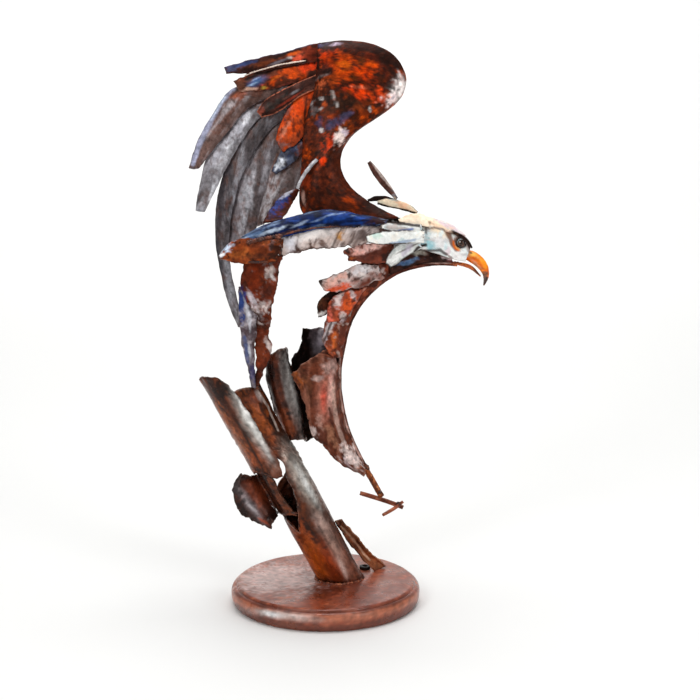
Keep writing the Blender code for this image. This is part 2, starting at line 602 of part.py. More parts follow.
def raised_wing(red, brown, grey, slate, blue):
    plate("wing_shield",
          on_wing(0, (-8, 561), (-11, 538), (-19, 515), (-22, 493), (-23, 468), (-25, 443), (-22, 419),
                  (5, 407)),
          on_wing(0, (-7, 589), (16, 593), (40, 590.5), (62.2, 583.4), (77.3, 570.2), (83, 553), (79, 537),
                  (62, 522), (39, 508), (22, 494), (14, 478), (15, 461), (25, 445), (41, 432), (59, 422),
                  (73, 415.5)),
          red, camber=11, wrap=60, rows=17, columns=6)
    plate("wing_top_feather", on_wing(1.3, (25, 586), (-7, 590), (-38, 582), (-69, 574), (-101, 565.5)),
          on_wing(1.3, (25, 567), (-9, 571.5), (-38, 567), (-63, 561.2), (-82, 559.6),
                  (-98, 560)), brown, camber=2, rows=9)
    plate("wing_edge_feather", on_wing(2.7, (10, 571), (-17, 571), (-40, 568.5), (-64, 562.8), (-91, 552)),
          on_wing(2.7, (13, 553), (-13, 553), (-35, 549), (-60, 542), (-86, 542)), red, camber=1.8, rows=8)
    plate("wing_primary_1", on_wing(4.4, (-5, 561), (-40, 561), (-70, 553), (-94, 544.6), (-115.3, 513.6),
                                    (-129.3, 487.4), (-136, 464)),
          on_wing(4.4, (-3, 541), (-33, 538), (-57, 534), (-78, 525), (-103, 493), (-115, 479),
                  (-125, 464.5)),
          brown, camber=2, rows=11, tear=(0, 0.6))
    plate("wing_primary_2", on_wing(6.4, (0, 553), (-40, 549), (-69, 539), (-93, 518), (-113, 488),
                                    (-124.2, 455), (-129, 422)),
          on_wing(6.4, (0, 533), (-35, 529), (-60, 521), (-79, 499), (-95, 473), (-108, 445), (-121, 421)),
          grey, camber=2, rows=11, tear=(0, 0.6))
    plate("wing_primary_3",
          on_wing(8.5, (-7, 539), (-40, 539), (-63, 527), (-83, 498), (-99, 467), (-108, 435),
                  (-110.5, 403), (-106, 371), (-98, 333),
                  (-86, 306)),
          on_wing(8.5, (-5, 521), (-33, 519), (-51, 509), (-68, 487), (-82, 461), (-91, 433), (-96, 403),
                  (-96, 371), (-88, 335),
                  (-83, 305)),
          slate, camber=3, rows=12)
    plate("wing_primary_4", on_wing(10.6, (-13, 533), (-42, 529), (-63, 503), (-79, 468), (-92, 433),
                                    (-99, 408), (-101, 386)),
          on_wing(10.6, (-11, 503), (-30, 499), (-45, 481), (-55, 451), (-62, 428), (-68, 405), (-78, 390)),
          grey, camber=3, rows=10)
    plate("wing_primary_5", on_wing(6.4, (-15, 513), (-37, 503), (-51, 473), (-61, 438), (-67, 407)),
          on_wing(6.4, (-13, 473), (-18, 461), (-26, 445), (-42, 438),
                  (-61, 409)), grey, camber=2, rows=9, columns=4)
    plate("wing_covert_top", on_wing(1.2, (3, 563), (-22, 553), (-45, 542), (-60, 533), (-66, 526.5),
                                     (-67.5, 521)),
          on_wing(1.2, (3, 547), (-19, 540), (-35, 529), (-50, 519.5), (-58.5, 516), (-63.5, 516)),
          brown, camber=1.4, rows=8)
    plate("wing_covert_middle", on_wing(2.7, (-7, 549), (-25, 537), (-40, 521), (-47, 503), (-49, 492)),
          on_wing(2.7, (-1, 533), (-15, 523), (-18, 509), (-22, 495), (-42, 480)),
          red, camber=1.8, rows=8)
    plate("wing_covert_low", on_wing(4.2, (-25, 495), (-41, 485), (-48, 473), (-53, 462)),
          on_wing(4.2, (-19, 485), (-25, 477), (-37, 466), (-49, 459)), blue, camber=1.2, rows=6)
    plate("wing_bright_bar", on_wing(-5.2, (-9, 474.5), (-17, 466.5), (-25, 454), (-29, 444.5)),
          on_wing(-5.2, (-6.5, 473), (-14, 464), (-22, 453),
                  (-26, 443.5)), grey, camber=0.5, rows=6, columns=2)


def near_wing(blue, pale, rust, brown):
    plate("near_wing_arm",
          [(63, 413, -22), (50, 416, -26), (27, 419.5, -29), (5, 423.5, -31), (-17, 420.5, -34),
           (-40, 413.5, -38), (-63, 407.5, -43),
           (-84, 395, -50)],
          [(59, 407.5, -27), (50, 408, -31), (27, 407, -36), (5, 405.5, -40), (-17, 402.5, -44),
           (-40, 396, -48), (-63, 393, -53),
           (-79, 392, -57)],
          blue, camber=4, wrap=65, rows=10, columns=4)
    plate("near_wing_cover",
          [(59, 406.5, -21), (45, 407.5, -26), (21, 407, -32), (-3, 405, -36), (-25, 401, -40),
           (-45, 395, -45)],
          [(45, 392, -25), (35, 389, -30), (19, 386.5, -34), (-3, 385.5, -38), (-25, 382, -42),
           (-45, 377, -47)],
          pale, camber=5, wrap=60, rows=10, columns=4, tear=(0.5, 1.5))
    plate("near_wing_tip", [(-41, 394, -53), (-63, 392, -58), (-84, 394.5, -63), (-97, 387.5, -65),
                            (-107, 377, -65)],
          [(-49, 371, -56), (-67, 370, -59), (-79, 370, -62), (-93, 371, -64), (-105, 374, -65)],
          rust, camber=4, wrap=60, rows=8, columns=4)
    plate("wing_plume_upper", [(-79, 374, -52), (-84, 358, -53), (-85, 346, -52), (-76, 330, -49),
                               (-66, 311, -45)],
          [(-42, 379, -50), (-48, 361, -51), (-48, 347, -50), (-53, 328, -48), (-55.5, 306, -44)],
          brown, camber=4, wrap=55, rows=8, columns=4)
    plate("wing_plume_left", [(-86, 347, -45), (-86, 328, -43), (-85, 305, -39), (-82, 288, -34),
                              (-78, 272, -29), (-73, 245.6, -21.7)],
          [(-75, 343, -46), (-70, 328, -43), (-68, 305, -39), (-70, 288, -34), (-71, 272, -29),
           (-69.2, 244.6, -21.7)],
          blue, camber=2.5, wrap=55, rows=10)
    plate("wing_plume_right", [(-69, 315, -38), (-69, 298, -33), (-68, 281, -28), (-69, 265, -24),
                               (-68.5, 247, -18)],
          [(-55, 314, -38), (-57, 299, -33), (-52, 284, -28), (-61, 265, -23.5), (-66.5, 247, -18)],
          brown, camber=2, wrap=55, rows=9, tear=(1, 0.5))
    plate("wing_gusset", [(-27, 445, 27), (-44, 437, 8), (-54, 423, -14), (-62, 410, -37)],
          [(-26, 443, 27), (-33, 429, 8), (-38, 420, -14), (-44, 413, -35)], blue, camber=1.5, rows=7)


def main():
    clear_scene()
    bark = paint("trunk patina", (0.13, 0.045, 0.022), 0.38, 0.85)
    rust = paint("rust brown", (0.21, 0.062, 0.022), 0.42, 0.8)
    disc = paint("base patina", (0.34, 0.15, 0.10), 0.42, 0.6)
    red = paint("wing red", (0.52, 0.075, 0.018), 0.35, 0.7)
    brown = paint("feather brown", (0.12, 0.045, 0.03), 0.36, 0.8)
    grey = paint("feather grey", (0.30, 0.29, 0.31), 0.34, 0.9)
    slate = paint("feather slate", (0.10, 0.10, 0.12), 0.36, 0.9)
    blue = paint("feather blue", (0.02, 0.06, 0.22), 0.35, 0.6)
    pale = paint("feather pale", (0.62, 0.52, 0.47), 0.4, 0.5)
    white = paint("head white", (0.80, 0.80, 0.76), 0.42, 0.2)
    cream = paint("crest cream", (0.80, 0.66, 0.48), 0.42, 0.2)
    dark = paint("inner dark", (0.045, 0.022, 0.016), 0.5, 0.6)
    pink = paint("breast pink", (0.62, 0.30, 0.24), 0.4, 0.5)
    orange = paint("leg orange", (0.55, 0.20, 0.06), 0.45, 0.7)
    horn = paint("beak orange", (0.85, 0.30, 0.03), 0.35, 0.2)
    pupil = paint("eye dark", (0.03, 0.02, 0.018), 0.15, 0.1)

    base(disc)
    trunk(bark, rust)
    foot_ring(dark)
    leg(orange, rust)
    front_rim(rust)
    breast(dark, red, pink)
    neck_back(dark)
    head(white, dark, pupil, horn)
    head_feathers(white, cream, dark)
    raised_wing(red, brown, grey, slate, blue)
    near_wing(blue, pale, rust, brown)


main()
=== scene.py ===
# The looks of the welded eagle: finer plates, weld beads, dents, torn edges and a painted patina.
#
# Every plate is refined from its own CAD solid, so it keeps the solid's form. Colours are painted
# per point in code: a wash, and over it clouds, streaks, patches, glows, lines, arcs and rim marks.
# Some of it is painted light: most glows and some patches and lines are painted highlights, glints
# and sheens, some dark patches and lines are painted shade and shadow, and the rim marks are wear,
# painted rim highlights and painted rim shade.
# Places in the paint are given as drawn in the front view, across and down, its width being 700.

import itertools
import json
import math

import bmesh
import bpy
import numpy as np
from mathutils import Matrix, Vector, kdtree
from mathutils.bvhtree import BVHTree


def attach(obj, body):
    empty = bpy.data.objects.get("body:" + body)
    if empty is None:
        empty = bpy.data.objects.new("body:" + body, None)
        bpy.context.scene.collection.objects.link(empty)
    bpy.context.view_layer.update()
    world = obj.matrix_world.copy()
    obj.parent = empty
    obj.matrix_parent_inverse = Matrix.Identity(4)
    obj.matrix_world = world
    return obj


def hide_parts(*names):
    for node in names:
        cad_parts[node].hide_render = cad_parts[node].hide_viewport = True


# Front view
EYE = (0.025, -1.5, 0.53)
AIM = (0.025, 0.0, 0.2615)
LENS = 78.369
SENSOR = 36.0
VIEW_WIDTH = 700
VIEW_MIDDLE = VIEW_WIDTH / 2
VIEW_SCALE = LENS / SENSOR * VIEW_WIDTH

# Noises are given as (coarsest grain in metres, seed) and in places the number of octaves.

# Relief of the plates. A reach says how far from a rim the tearing fades out and is full.
DENT, DENT_DEPTH = (0.022, 3), 0.0007
RIPPLE, RIPPLE_DEPTH = (0.0045, 5), 0.00022
RAG, RAG_DEPTH, RAG_REACH = (0.0028, 9), 0.0007, (0.003, 0.0004)
TEAR, TEAR_DEPTH, TEAR_REACH = (0.009, 19), 0.0013, (0.010, 0.001)
SHARP = math.radians(50)
SAME_PLACE = 2e-6
NEARLY_FLAT = math.radians(35)
LEVELS = 3
SMALL = ("brow_near", "brow_far", "foot_ring", "long_toe", "cross_toe")
SMALL_LEVELS, SMALL_DENTS = 2, 0.25
NO_RIM, RIM_SPOTS = 1.0, 7

# Ribs of the leg bar
RIB_PITCH = 0.0036
RIB_HEIGHT = 0.0006
RIB_SLANT = 1.2
RIB_MIDDLE, RIB_POWER = 0.6, 3
SIDE_RIB = (0.965, 0.995)
TINY = 1e-6

# Paint. An edge says where a kind of layer stops and where it is full, 1 being its outline.
# A brush says how far it pushes the patches about in the view, and by which noise.
BRUSH_WIDE, BRUSH_FINE = (7.0, 0.013, 41), (3.5, 0.0045, 43)
GRAIN = (0.0028, 67)
MOTTLE, MOTTLE_DARK, MOTTLE_PALE = (0.0035, 61), 0.4, 0.06
WHITE_SUM = 3 * 255
STRENGTH = 0.8
CLOUD_EDGE, CLOUD_OCTAVES, CLOUD_CURL, CURL_SEED = 0.2, 5, 0.3, 50
STREAK_LENGTH, STREAK_DEPTH = 7, 0.3
PATCH_EDGE, PATCH_FRAY, PATCH_FULL_PUSH = (1.3, 0.45), 1.1, 9.0
FRAY_FROM, FRAY_OVER = 0.8, 2.5
GLOW_EDGE, GLOW_FRAY, GLOW_PUSH = (1.35, 0.0), 0.25, 0.15
LINE_EDGE, LINE_NOISE, LINE_THIN, LINE_SWELL = (1.3, 0.5), (0.005, 71, 2), 0.7, 0.6
ARC_EDGE, ARC_ENDS = (1.2, 0.5), (12, 6)
RIM_PAINT_EDGE, RIM_PAINT_NOISE, RIM_PAINT_FRAY, RIM_PAINT_FIELD = (1.2, 0.5), (0.004, 7), 0.9, (1.2, 0.8)

# Noise
CELL_PRIMES = (374761393, 668265263, 1442695041)
SEED_PRIME, MIX_PRIME = 974711, 1274126177
NOISE_SHIFT, SEED_SHIFT = 37.3, 5.17
DRIFT_SEEDS = (0, 11, 23)
SPREAD = 2.1

# Finishes
FLECK_RANGE, PALE_FLECK = (0.3, 0.7), 0.8
GLOSS_GRAIN, GLOSSIER, DULLER = 0.35, 0.1, 0.14
PIT_GRAIN, PIT_DEPTH = 1.8, 0.0006

# Base
BASE_RADIUS = 0.0965
BASE_THICKNESS = 0.022
BASE_FOOT_RADIUS = 0.0915
BASE_NOSE_HEIGHT = 0.0125
BASE_GROOVE_RADIUS = 0.0915
BASE_GROOVE_HEIGHT = 0.0192
BASE_FLAT_RADIUS = 0.088
BASE_SIDES, BASE_STEPS = 180, (10, 14, 10)
BASE_TOP_RINGS = (0.97, 0.02, 30)
BASE_WAVE, BASE_WAVE_DEPTH = (0.012, 4), 0.00018
BASE_LEVEL_BELOW = 0.001

# Weld beads
BEAD_STEP, BEAD_SIDES, BEAD_PITCH = 0.0005, 12, 0.0028
BEAD_TIP, BEAD_TAPER, BEAD_LOW, BEAD_SCALLOP = 0.35, 0.12, 0.82, 0.3
BEAD_WAVE, BEAD_WAVE_DEPTH = (0.004, 31), 0.0004
SEARCH_RINGS, SEARCH_TURNS = (0, 1.5, 3, 5, 8), 12
FOOT_BAND, FOOT_WINDOW, FOOT_SPOTS, FOOT_GAP = 0.0006, 0.22, 49, 0.0004
FOOT_BEAD, FOOT_PITCH = 0.0017, 0.0045

# Room
FLOOR_HALF_WIDTH, FLOOR_FRONT, FLOOR_BACK = 6.0, -4.0, 3.0
COVE_RADIUS, COVE_STEPS, WALL_TOP = 1.5, 12, 6.0
FLOOR_COLOUR, FLOOR_ROUGHNESS = (0.86, 0.86, 0.85, 1.0), 0.7
DAYLIGHT, SEEN_TO = 0.3, 50
MIDDLE = (0.0, 0.0, 0.28)
LAMPS = [
    ("key", (-1.0, -1.5, 1.4), MIDDLE, (0.5, 0.9), 12),
    ("fill", (1.3, -1.3, 1.0), MIDDLE, (0.35, 1.0), 8),
    ("top", (0.1, 0.2, 2.2), MIDDLE, (1.6, 1.2), 33),
    ("wall light", (0.0, 2.0, 3.2), (0.0, 4.4, 1.6), (5.0, 1.0), 120),
]

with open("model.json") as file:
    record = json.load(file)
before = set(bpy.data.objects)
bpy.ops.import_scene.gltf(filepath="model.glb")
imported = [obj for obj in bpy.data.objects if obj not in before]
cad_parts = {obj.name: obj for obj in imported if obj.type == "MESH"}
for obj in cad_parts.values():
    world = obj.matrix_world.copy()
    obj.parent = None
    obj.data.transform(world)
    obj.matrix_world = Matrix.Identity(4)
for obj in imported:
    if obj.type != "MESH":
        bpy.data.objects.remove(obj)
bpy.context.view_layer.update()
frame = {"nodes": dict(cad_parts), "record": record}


# Noise

def lattice(cells, seed):
    """A random value from 0 to 1 for each cell."""
    x, y, z = CELL_PRIMES
    n = (cells[0] * x + cells[1] * y + cells[2] * z + seed * SEED_PRIME) & 0xFFFFFFFF
    n = ((n ^ (n >> 13)) * MIX_PRIME) & 0xFFFFFFFF
    return ((n ^ (n >> 16)) & 0xFFFF) / 65535.0


def noise(points, size, seed=0, octaves=3):
    """Smooth noise from 0 to 1 at points in metres, size being its coarsest grain."""
    total = np.zeros(len(points))
    weight = 0.0
    for octave in range(octaves):
        spots = points / (size * 0.5 ** octave) + NOISE_SHIFT + seed * SEED_SHIFT
        cell = np.floor(spots).astype(np.int64)
        part = spots - cell
        part = part * part * (3 - 2 * part)
        value = np.zeros(len(points))
        for corner in itertools.product((0, 1), repeat=3):
            x, y, z = [part[:, k] if far else 1 - part[:, k] for k, far in enumerate(corner)]
            value += x * y * z * lattice((cell + corner).T, seed + octave)
        total += value * 0.5 ** octave
        weight += 0.5 ** octave
    return total / weight


def drift(points, size, seed):
    """A smooth field of small vectors, about -1 to 1 each way."""
    return np.stack([2 * noise(points, size, seed + k, 2) - 1 for k in DRIFT_SEEDS], axis=1)


def step(low, high, value):
    """Eases from 0 at low to 1 at high."""
    share = np.clip((value - low) / (high - low), 0, 1)
    return share * share * (3 - 2 * share)


def spread(value):
    """Stretches noise so that its values fill 0 to 1 more evenly."""
    return np.clip((value - 0.5) * SPREAD + 0.5, 0, 1)


# The front view, as a drawing board

def view_axes():
    """The front view's directions: ahead, right and up."""
    ahead = np.array(AIM) - np.array(EYE)
    ahead = ahead / np.linalg.norm(ahead)
    right = np.array((1.0, 0.0, 0.0))
    return ahead, right, np.cross(right, ahead)


def drawn(points):
    """Where points show in the front view: across from the left and down from the top."""
    ahead, right, above = view_axes()
    away = points - np.array(EYE)
    scale = VIEW_SCALE / (away @ ahead)
    return np.stack((VIEW_MIDDLE + away @ right * scale, VIEW_MIDDLE - away @ above * scale), axis=1)


def along(flat, degrees):
    """Places in the view measured along and across a slant."""
    turn = math.radians(degrees)
    return (flat[:, 0] * math.cos(turn) + flat[:, 1] * math.sin(turn),
            -flat[:, 0] * math.sin(turn) + flat[:, 1] * math.cos(turn))


# Paint. A layer is (kind, colour, ...), and a patch where it has no kind. Each kind is a function
# that says how much of the colour each point takes, and a layer without a last number for it takes
# STRENGTH. Sizes of clouds and streaks and widths of worn rims are in millimetres, other lengths in
# the view's units.

class Skin:
    """The points of a mesh, as the paint sees them."""

    def __init__(self, points, rim):
        self.points = points
        self.rim = rim
        self.flat = drawn(points)
        self.push = sum(far * drift(points, size, seed)[:, :2]
                        for far, size, seed in (BRUSH_WIDE, BRUSH_FINE))
        self.grain = spread(noise(points, *GRAIN)) - 0.5

    def oval(self, push, x, y, wide, tall, degrees):
        """How far out of an ellipse each point is, 1 being its outline."""
        u, v = along(self.flat + push * self.push - np.array((x, y)), degrees)
        return np.sqrt((u / wide) ** 2 + (v / tall) ** 2)


def covered(field, share):
    """Covers the given share of a field of noise, softly."""
    return step(1 - share - CLOUD_EDGE, 1 - share + CLOUD_EDGE, spread(field))


def cloud(skin, size, share, seed, strength=STRENGTH):
    points = skin.points + CLOUD_CURL * size / 1000 * drift(skin.points, size / 2000, seed + CURL_SEED)
    return strength * covered(noise(points, size / 1000, seed, CLOUD_OCTAVES), share)


def streak(skin, size, share, seed, degrees, strength=STRENGTH):
    u, v = along(skin.flat, degrees)
    field = np.stack((u / (1000 * STREAK_LENGTH), v / 1000, skin.points[:, 1] * STREAK_DEPTH), axis=1)
    return strength * covered(noise(field, size / 1000, seed, CLOUD_OCTAVES), share)


def patch(skin, x, y, wide, tall, degrees, strength=STRENGTH):
    """A ragged patch. A narrow one is pushed about and frayed less."""
    narrow = min(wide, tall)
    ease = min(1.0, narrow / PATCH_FULL_PUSH)
    fray = min(1.0, max(0.0, narrow - FRAY_FROM) / FRAY_OVER)
    out = skin.oval(ease, x, y, wide, tall, degrees)
    return strength * step(*PATCH_EDGE, out + PATCH_FRAY * fray * skin.grain)


def glow(skin, x, y, wide, tall, degrees, strength=STRENGTH):
    """A soft patch. Most glows are painted highlights, glints and sheens; some are soft patches of paint
    colour.
    """
    out = skin.oval(GLOW_PUSH, x, y, wide, tall, degrees)
    return strength * step(*GLOW_EDGE, out + GLOW_FRAY * skin.grain)


def line(skin, width, strength, places):
    """A drawn line through places, thinner here and thicker there."""
    across, down = skin.flat.T
    near = np.full(len(across), np.inf)
    for (x1, y1), (x2, y2) in zip(places, places[1:]):
        du, dv = x2 - x1, y2 - y1
        share = np.clip(((across - x1) * du + (down - y1) * dv) / (du * du + dv * dv), 0, 1)
        near = np.minimum(near, np.hypot(across - x1 - share * du, down - y1 - share * dv))
    thick = width * (LINE_THIN + LINE_SWELL * noise(skin.points, *LINE_NOISE))
    return strength * step(*LINE_EDGE, near / thick)


def arc(skin, x, y, radius, width, start, end, strength):
    """Part of a ring, from start to end in degrees, clockwise from the right."""
    du, dv = skin.flat[:, 0] - x, skin.flat[:, 1] - y
    turn = np.degrees(np.arctan2(dv, du)) % 360
    off, full = ARC_ENDS
    inside = step(start - off, start + full, turn) * step(end + off, end - full, turn)
    return strength * inside * step(*ARC_EDGE, np.abs(np.hypot(du, dv) - radius) / width)


def rim_wear_and_painted_light(skin, width, strength, *field):
    """Paint along the rims, all of them or those inside a field (x, y, wide, tall): wear, painted rim
    highlights and painted rim shade, by the colour given.
    """
    if field:
        strength = strength * step(*RIM_PAINT_FIELD, skin.oval(0.0, *field, 0))
    fray = noise(skin.points, *RIM_PAINT_NOISE) - 0.5
    return strength * step(*RIM_PAINT_EDGE, skin.rim * 1000 / width + RIM_PAINT_FRAY * fray)


def linear(colour):
    """Scene-linear values of a colour given from 0 to 255."""
    value = np.array(colour) / 255.0
    return np.where(value <= 0.04045, value / 12.92, ((value + 0.055) / 1.055) ** 2.4)


def painted(points, rim, wash, layers):
    """The colour of each point: a wash, the layers over it, and a fine mottle."""
    skin = Skin(points, rim)
    colour = np.tile(linear(wash), (len(points), 1))
    for layer in layers:
        kind, tone, *numbers = layer if callable(layer[0]) else (patch, *layer)
        share = kind(skin, *numbers)[:, None]
        colour = colour * (1 - share) + linear(tone) * share
    depth = MOTTLE_DARK + (MOTTLE_PALE - MOTTLE_DARK) * sum(wash) / WHITE_SUM
    return colour * (1 - depth + 2 * depth * spread(noise(points, *MOTTLE)))[:, None]


# Meshes

def points_of(mesh):
    values = np.empty(len(mesh.vertices) * 3)
    mesh.vertices.foreach_get("co", values)
    return values.reshape(-1, 3)


def placed(name, bm):
    """A new piece with the bmesh's faces."""
    mesh = bpy.data.meshes.new(name)
    bm.to_mesh(mesh)
    bm.free()
    piece = bpy.data.objects.new(name, mesh)
    bpy.context.scene.collection.objects.link(piece)
    return piece


def ringed(name, rings):
    """A closed piece over rings of places, one after the other."""
    bm = bmesh.new()
    loops = [[bm.verts.new(place) for place in ring] for ring in rings]
    for lower, upper in zip(loops, loops[1:]):
        for k in range(len(lower)):
            bm.faces.new((lower[k - 1], lower[k], upper[k], upper[k - 1]))
    bm.faces.new(loops[0])
    bm.faces.new(loops[-1])
    bmesh.ops.recalc_face_normals(bm, faces=bm.faces)
    return placed(name, bm)


def finish_piece(piece, points, rim, finish, slot, wash, *layers):
    """Paints a piece, gives it its material and makes it ride on the part."""
    mesh = piece.data
    colour = np.ones((len(points), 4))
    colour[:, :3] = painted(points, rim, wash, layers)
    attribute = mesh.color_attributes.new("paint", "FLOAT_COLOR", "POINT")
    attribute.data.foreach_set("color", colour.ravel())
    mesh.materials.clear()
    mesh.materials.append(finish)
    mesh.shade_smooth()
    mesh.set_sharp_from_angle(angle=SHARP)
    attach(piece, "root")


def refined(node, levels):
    """The CAD node's mesh with its flat facets turned into a smooth sheet with crisp rims."""
    bm = bmesh.new()
    bm.from_mesh(frame["nodes"][node].data)
    bmesh.ops.remove_doubles(bm, verts=bm.verts, dist=SAME_PLACE)
    bmesh.ops.join_triangles(bm, faces=bm.faces, angle_face_threshold=NEARLY_FLAT,
                             angle_shape_threshold=math.pi, topology_influence=1.2)
    crease = bm.edges.layers.float.new("crease_edge")
    rims = []
    for edge in bm.edges:
        if len(edge.link_faces) == 2 and edge.calc_face_angle() > SHARP:
            edge[crease] = 1.0
            rims.append([corner.co.copy() for corner in edge.verts])
    piece = placed(node + "_fine", bm)
    coarse = piece.data
    smoothing = piece.modifiers.new("smooth", "SUBSURF")
    smoothing.levels = smoothing.render_levels = levels
    bpy.context.view_layer.update()
    fine = bpy.data.meshes.new_from_object(piece.evaluated_get(bpy.context.evaluated_depsgraph_get()))
    piece.modifiers.clear()
    piece.data = fine
    bpy.data.meshes.remove(coarse)
    return piece, rims


def rim_distance(points, rims):
    """How far each point is from the nearest rim of its plate."""
    if not rims:
        return np.full(len(points), NO_RIM)
    spots = [a.lerp(b, t) for a, b in rims for t in np.linspace(0, 1, RIM_SPOTS)]
    tree = kdtree.KDTree(len(spots))
    for k, spot in enumerate(spots):
        tree.insert(spot, k)
    tree.balance()
    return np.array([tree.find(Vector(point))[2] for point in points])


def dress(node, finish, rag, *paint):
    """Refines a node, dents it, tears its rims, paints it and puts it in the node's place."""
    small = node in SMALL
    piece, rims = refined(node, SMALL_LEVELS if small else LEVELS)
    points = points_of(piece.data)
    rim = rim_distance(points, rims)
    dents = SMALL_DENTS if small else 1.0
    moved = points + drift(points, *DENT) * DENT_DEPTH * dents
    moved += drift(points, *RIPPLE) * RIPPLE_DEPTH * dents
    if rag:
        moved += drift(points, *RAG) * (RAG_DEPTH * rag * step(*RAG_REACH, rim))[:, None]
        moved += drift(points, *TEAR) * (TEAR_DEPTH * rag * step(*TEAR_REACH, rim))[:, None]
    piece.data.vertices.foreach_set("co", moved.ravel())
    finish_piece(piece, points, rim, finish, SLOTS[node], *paint)
    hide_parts(node)
    return piece


def ribbed(piece):
    """Winds ribs round the bar, and runs one down each side."""
    points = points_of(piece.data)
    middle = points.mean(axis=0)
    way = np.linalg.svd(points - middle, full_matrices=False)[2][0]
    run = (points - middle) @ way
    out = points - middle - run[:, None] * way
    side = np.cross(way, (0.0, 1.0, 0.0))
    side /= np.linalg.norm(side)
    turn = np.arctan2(out @ np.cross(way, side), out @ side)
    rib = np.maximum(0, np.sin(2 * math.pi * run / RIB_PITCH + RIB_SLANT * np.sin(turn))) ** RIB_POWER
    rib = np.maximum(rib, step(*SIDE_RIB, np.abs(np.cos(turn))))
    reach = np.linalg.norm(out, axis=1)[:, None]
    shift = out / np.maximum(reach, TINY) * ((rib - RIB_MIDDLE) * RIB_HEIGHT)[:, None]
    piece.data.vertices.foreach_set("co", (points + shift).ravel())


# Finishes

def surface(name, roughness, metallic, sheen, grain, fleck, bump=0.25):
    """Painted metal: the mesh's own paint, darker and lighter flecks, uneven gloss and fine pits."""
    material = bpy.data.materials.new(name)
    material.use_nodes = True
    nodes, links = material.node_tree.nodes, material.node_tree.links

    def node(kind, **values):
        made = nodes.new("ShaderNode" + kind)
        for socket, value in values.items():
            made.inputs[socket.replace("_", " ")].default_value = value
        return made

    def speckle(**values):
        made = node("TexNoise", **values)
        links.new(place.outputs["Object"], made.inputs["Vector"])
        return made.outputs["Fac"]

    def ranged(value, low, high):
        made = node("MapRange", From_Min=FLECK_RANGE[0], From_Max=FLECK_RANGE[1], To_Min=low, To_Max=high)
        links.new(value, made.inputs["Value"])
        return made.outputs["Result"]

    shader = nodes["Principled BSDF"]
    shader.inputs["Metallic"].default_value = metallic
    shader.inputs["Specular IOR Level"].default_value = sheen
    place = node("TexCoord")
    paint = node("Attribute")
    paint.attribute_name = "paint"
    tinted = node("VectorMath")
    tinted.operation = "SCALE"
    flecks = speckle(Scale=grain, Detail=6.0, Roughness=0.65)
    links.new(paint.outputs["Color"], tinted.inputs[0])
    links.new(ranged(flecks, 1 - fleck, 1 + fleck * PALE_FLECK), tinted.inputs["Scale"])
    links.new(tinted.outputs["Vector"], shader.inputs["Base Color"])
    gloss = speckle(Scale=grain * GLOSS_GRAIN, Detail=4.0)
    links.new(ranged(gloss, roughness - GLOSSIER, roughness + DULLER), shader.inputs["Roughness"])
    pits = node("Bump", Strength=bump, Distance=PIT_DEPTH)
    links.new(speckle(Scale=grain * PIT_GRAIN, Detail=5.0), pits.inputs["Height"])
    links.new(pits.outputs["Normal"], shader.inputs["Normal"])
    return material


BARK = surface("dark patina", 0.27, 0.35, 0.25, 260, 0.24, 0.16)
LACQUER = surface("wing patina", 0.40, 0.2, 0.08, 300, 0.38)
BRUSHED = surface("grey feather", 0.42, 0.25, 0.15, 380, 0.4)
PAINTED = surface("painted feather", 0.45, 0.0, 0.12, 320, 0.16)
HORN = surface("beak", 0.30, 0.0, 0.35, 300, 0.12, 0.12)
DISC = surface("base patina", 0.32, 0.05, 0.5, 170, 0.24, 0.18)
WIRE = surface("bar", 0.45, 0.1, 0.2, 500, 0.3)
WELD = surface("weld", 0.40, 0.2, 0.4, 500, 0.3, 0.4)
SLOTS = {entry["node"]: entry["material_slot"] for entry in frame["record"]["subparts"]}


# Paint of the base and the welds: a wash and its layers

BASE_PAINT = ((140, 66, 42), (cloud, (112, 48, 28), 16, 0.4, 1, 0.6),
    (cloud, (176, 104, 78), 24, 0.3, 2, 0.5), (cloud, (92, 40, 24), 4, 0.24, 3, 0.6),
    (cloud, (186, 104, 70), 3, 0.22, 4, 0.6), ((120, 48, 24), 362, 596, 48, 14, 0),
    # The pale patch at 276, 578 is a painted sheen on the top.
    ((84, 34, 18), 330, 588, 30, 9, 0, 0.9), ((196, 166, 160), 276, 578, 46, 14, 0),
    # A painted highlight along the top of the rounded nose, then painted shade along its underside.
    (line, (196, 122, 92), 4.0, 0.5, [(234, 598), (252, 608), (285, 616), (325, 619), (365, 616), (398, 607),
     (415, 597)]),
    (line, (92, 40, 24), 3.4, 0.7, [(235, 606), (252, 617), (285, 626), (325, 630), (365, 626), (398, 616),
     (414, 606)]),
    # Painted glints on the nose, front left.
    (glow, (206, 190, 184), 284, 615, 40, 5, 8, 0.85), (glow, (248, 246, 246), 272, 614.5, 12, 3.4, 14, 0.95),
    # Painted shade in the groove between the top and the nose.
    (line, (96, 44, 28), 2.6, 0.6, [(238, 594), (258, 604.5), (290, 611), (325, 613), (360, 611),
     (392, 604.5), (412, 594)]))
WELD_FOOT = ((112, 52, 30), (cloud, (34, 18, 12), 6, 0.42, 211), (cloud, (190, 110, 70), 4, 0.2, 212))
WELD_DARK = ((44, 22, 15), (cloud, (96, 44, 24), 5, 0.4, 120), (cloud, (150, 84, 54), 3, 0.2, 121))
WELD_BEAK = ((190, 92, 34), (cloud, (104, 50, 28), 4, 0.4, 123))
WELD_WHITE = ((236, 240, 240), (cloud, (176, 206, 214), 4, 0.3, 115), (cloud, (150, 140, 138), 3, 0.16, 116))
WELD_CREAM = ((196, 168, 140), (cloud, (96, 64, 48), 4, 0.4, 124))
RIM_PALE = ((244, 222, 206), (cloud, (190, 150, 134), 6, 0.3, 113))
WELD_WING = ((74, 38, 26), (cloud, (120, 60, 34), 6, 0.4, 122), (cloud, (36, 30, 36), 5, 0.3, 125))


# Base

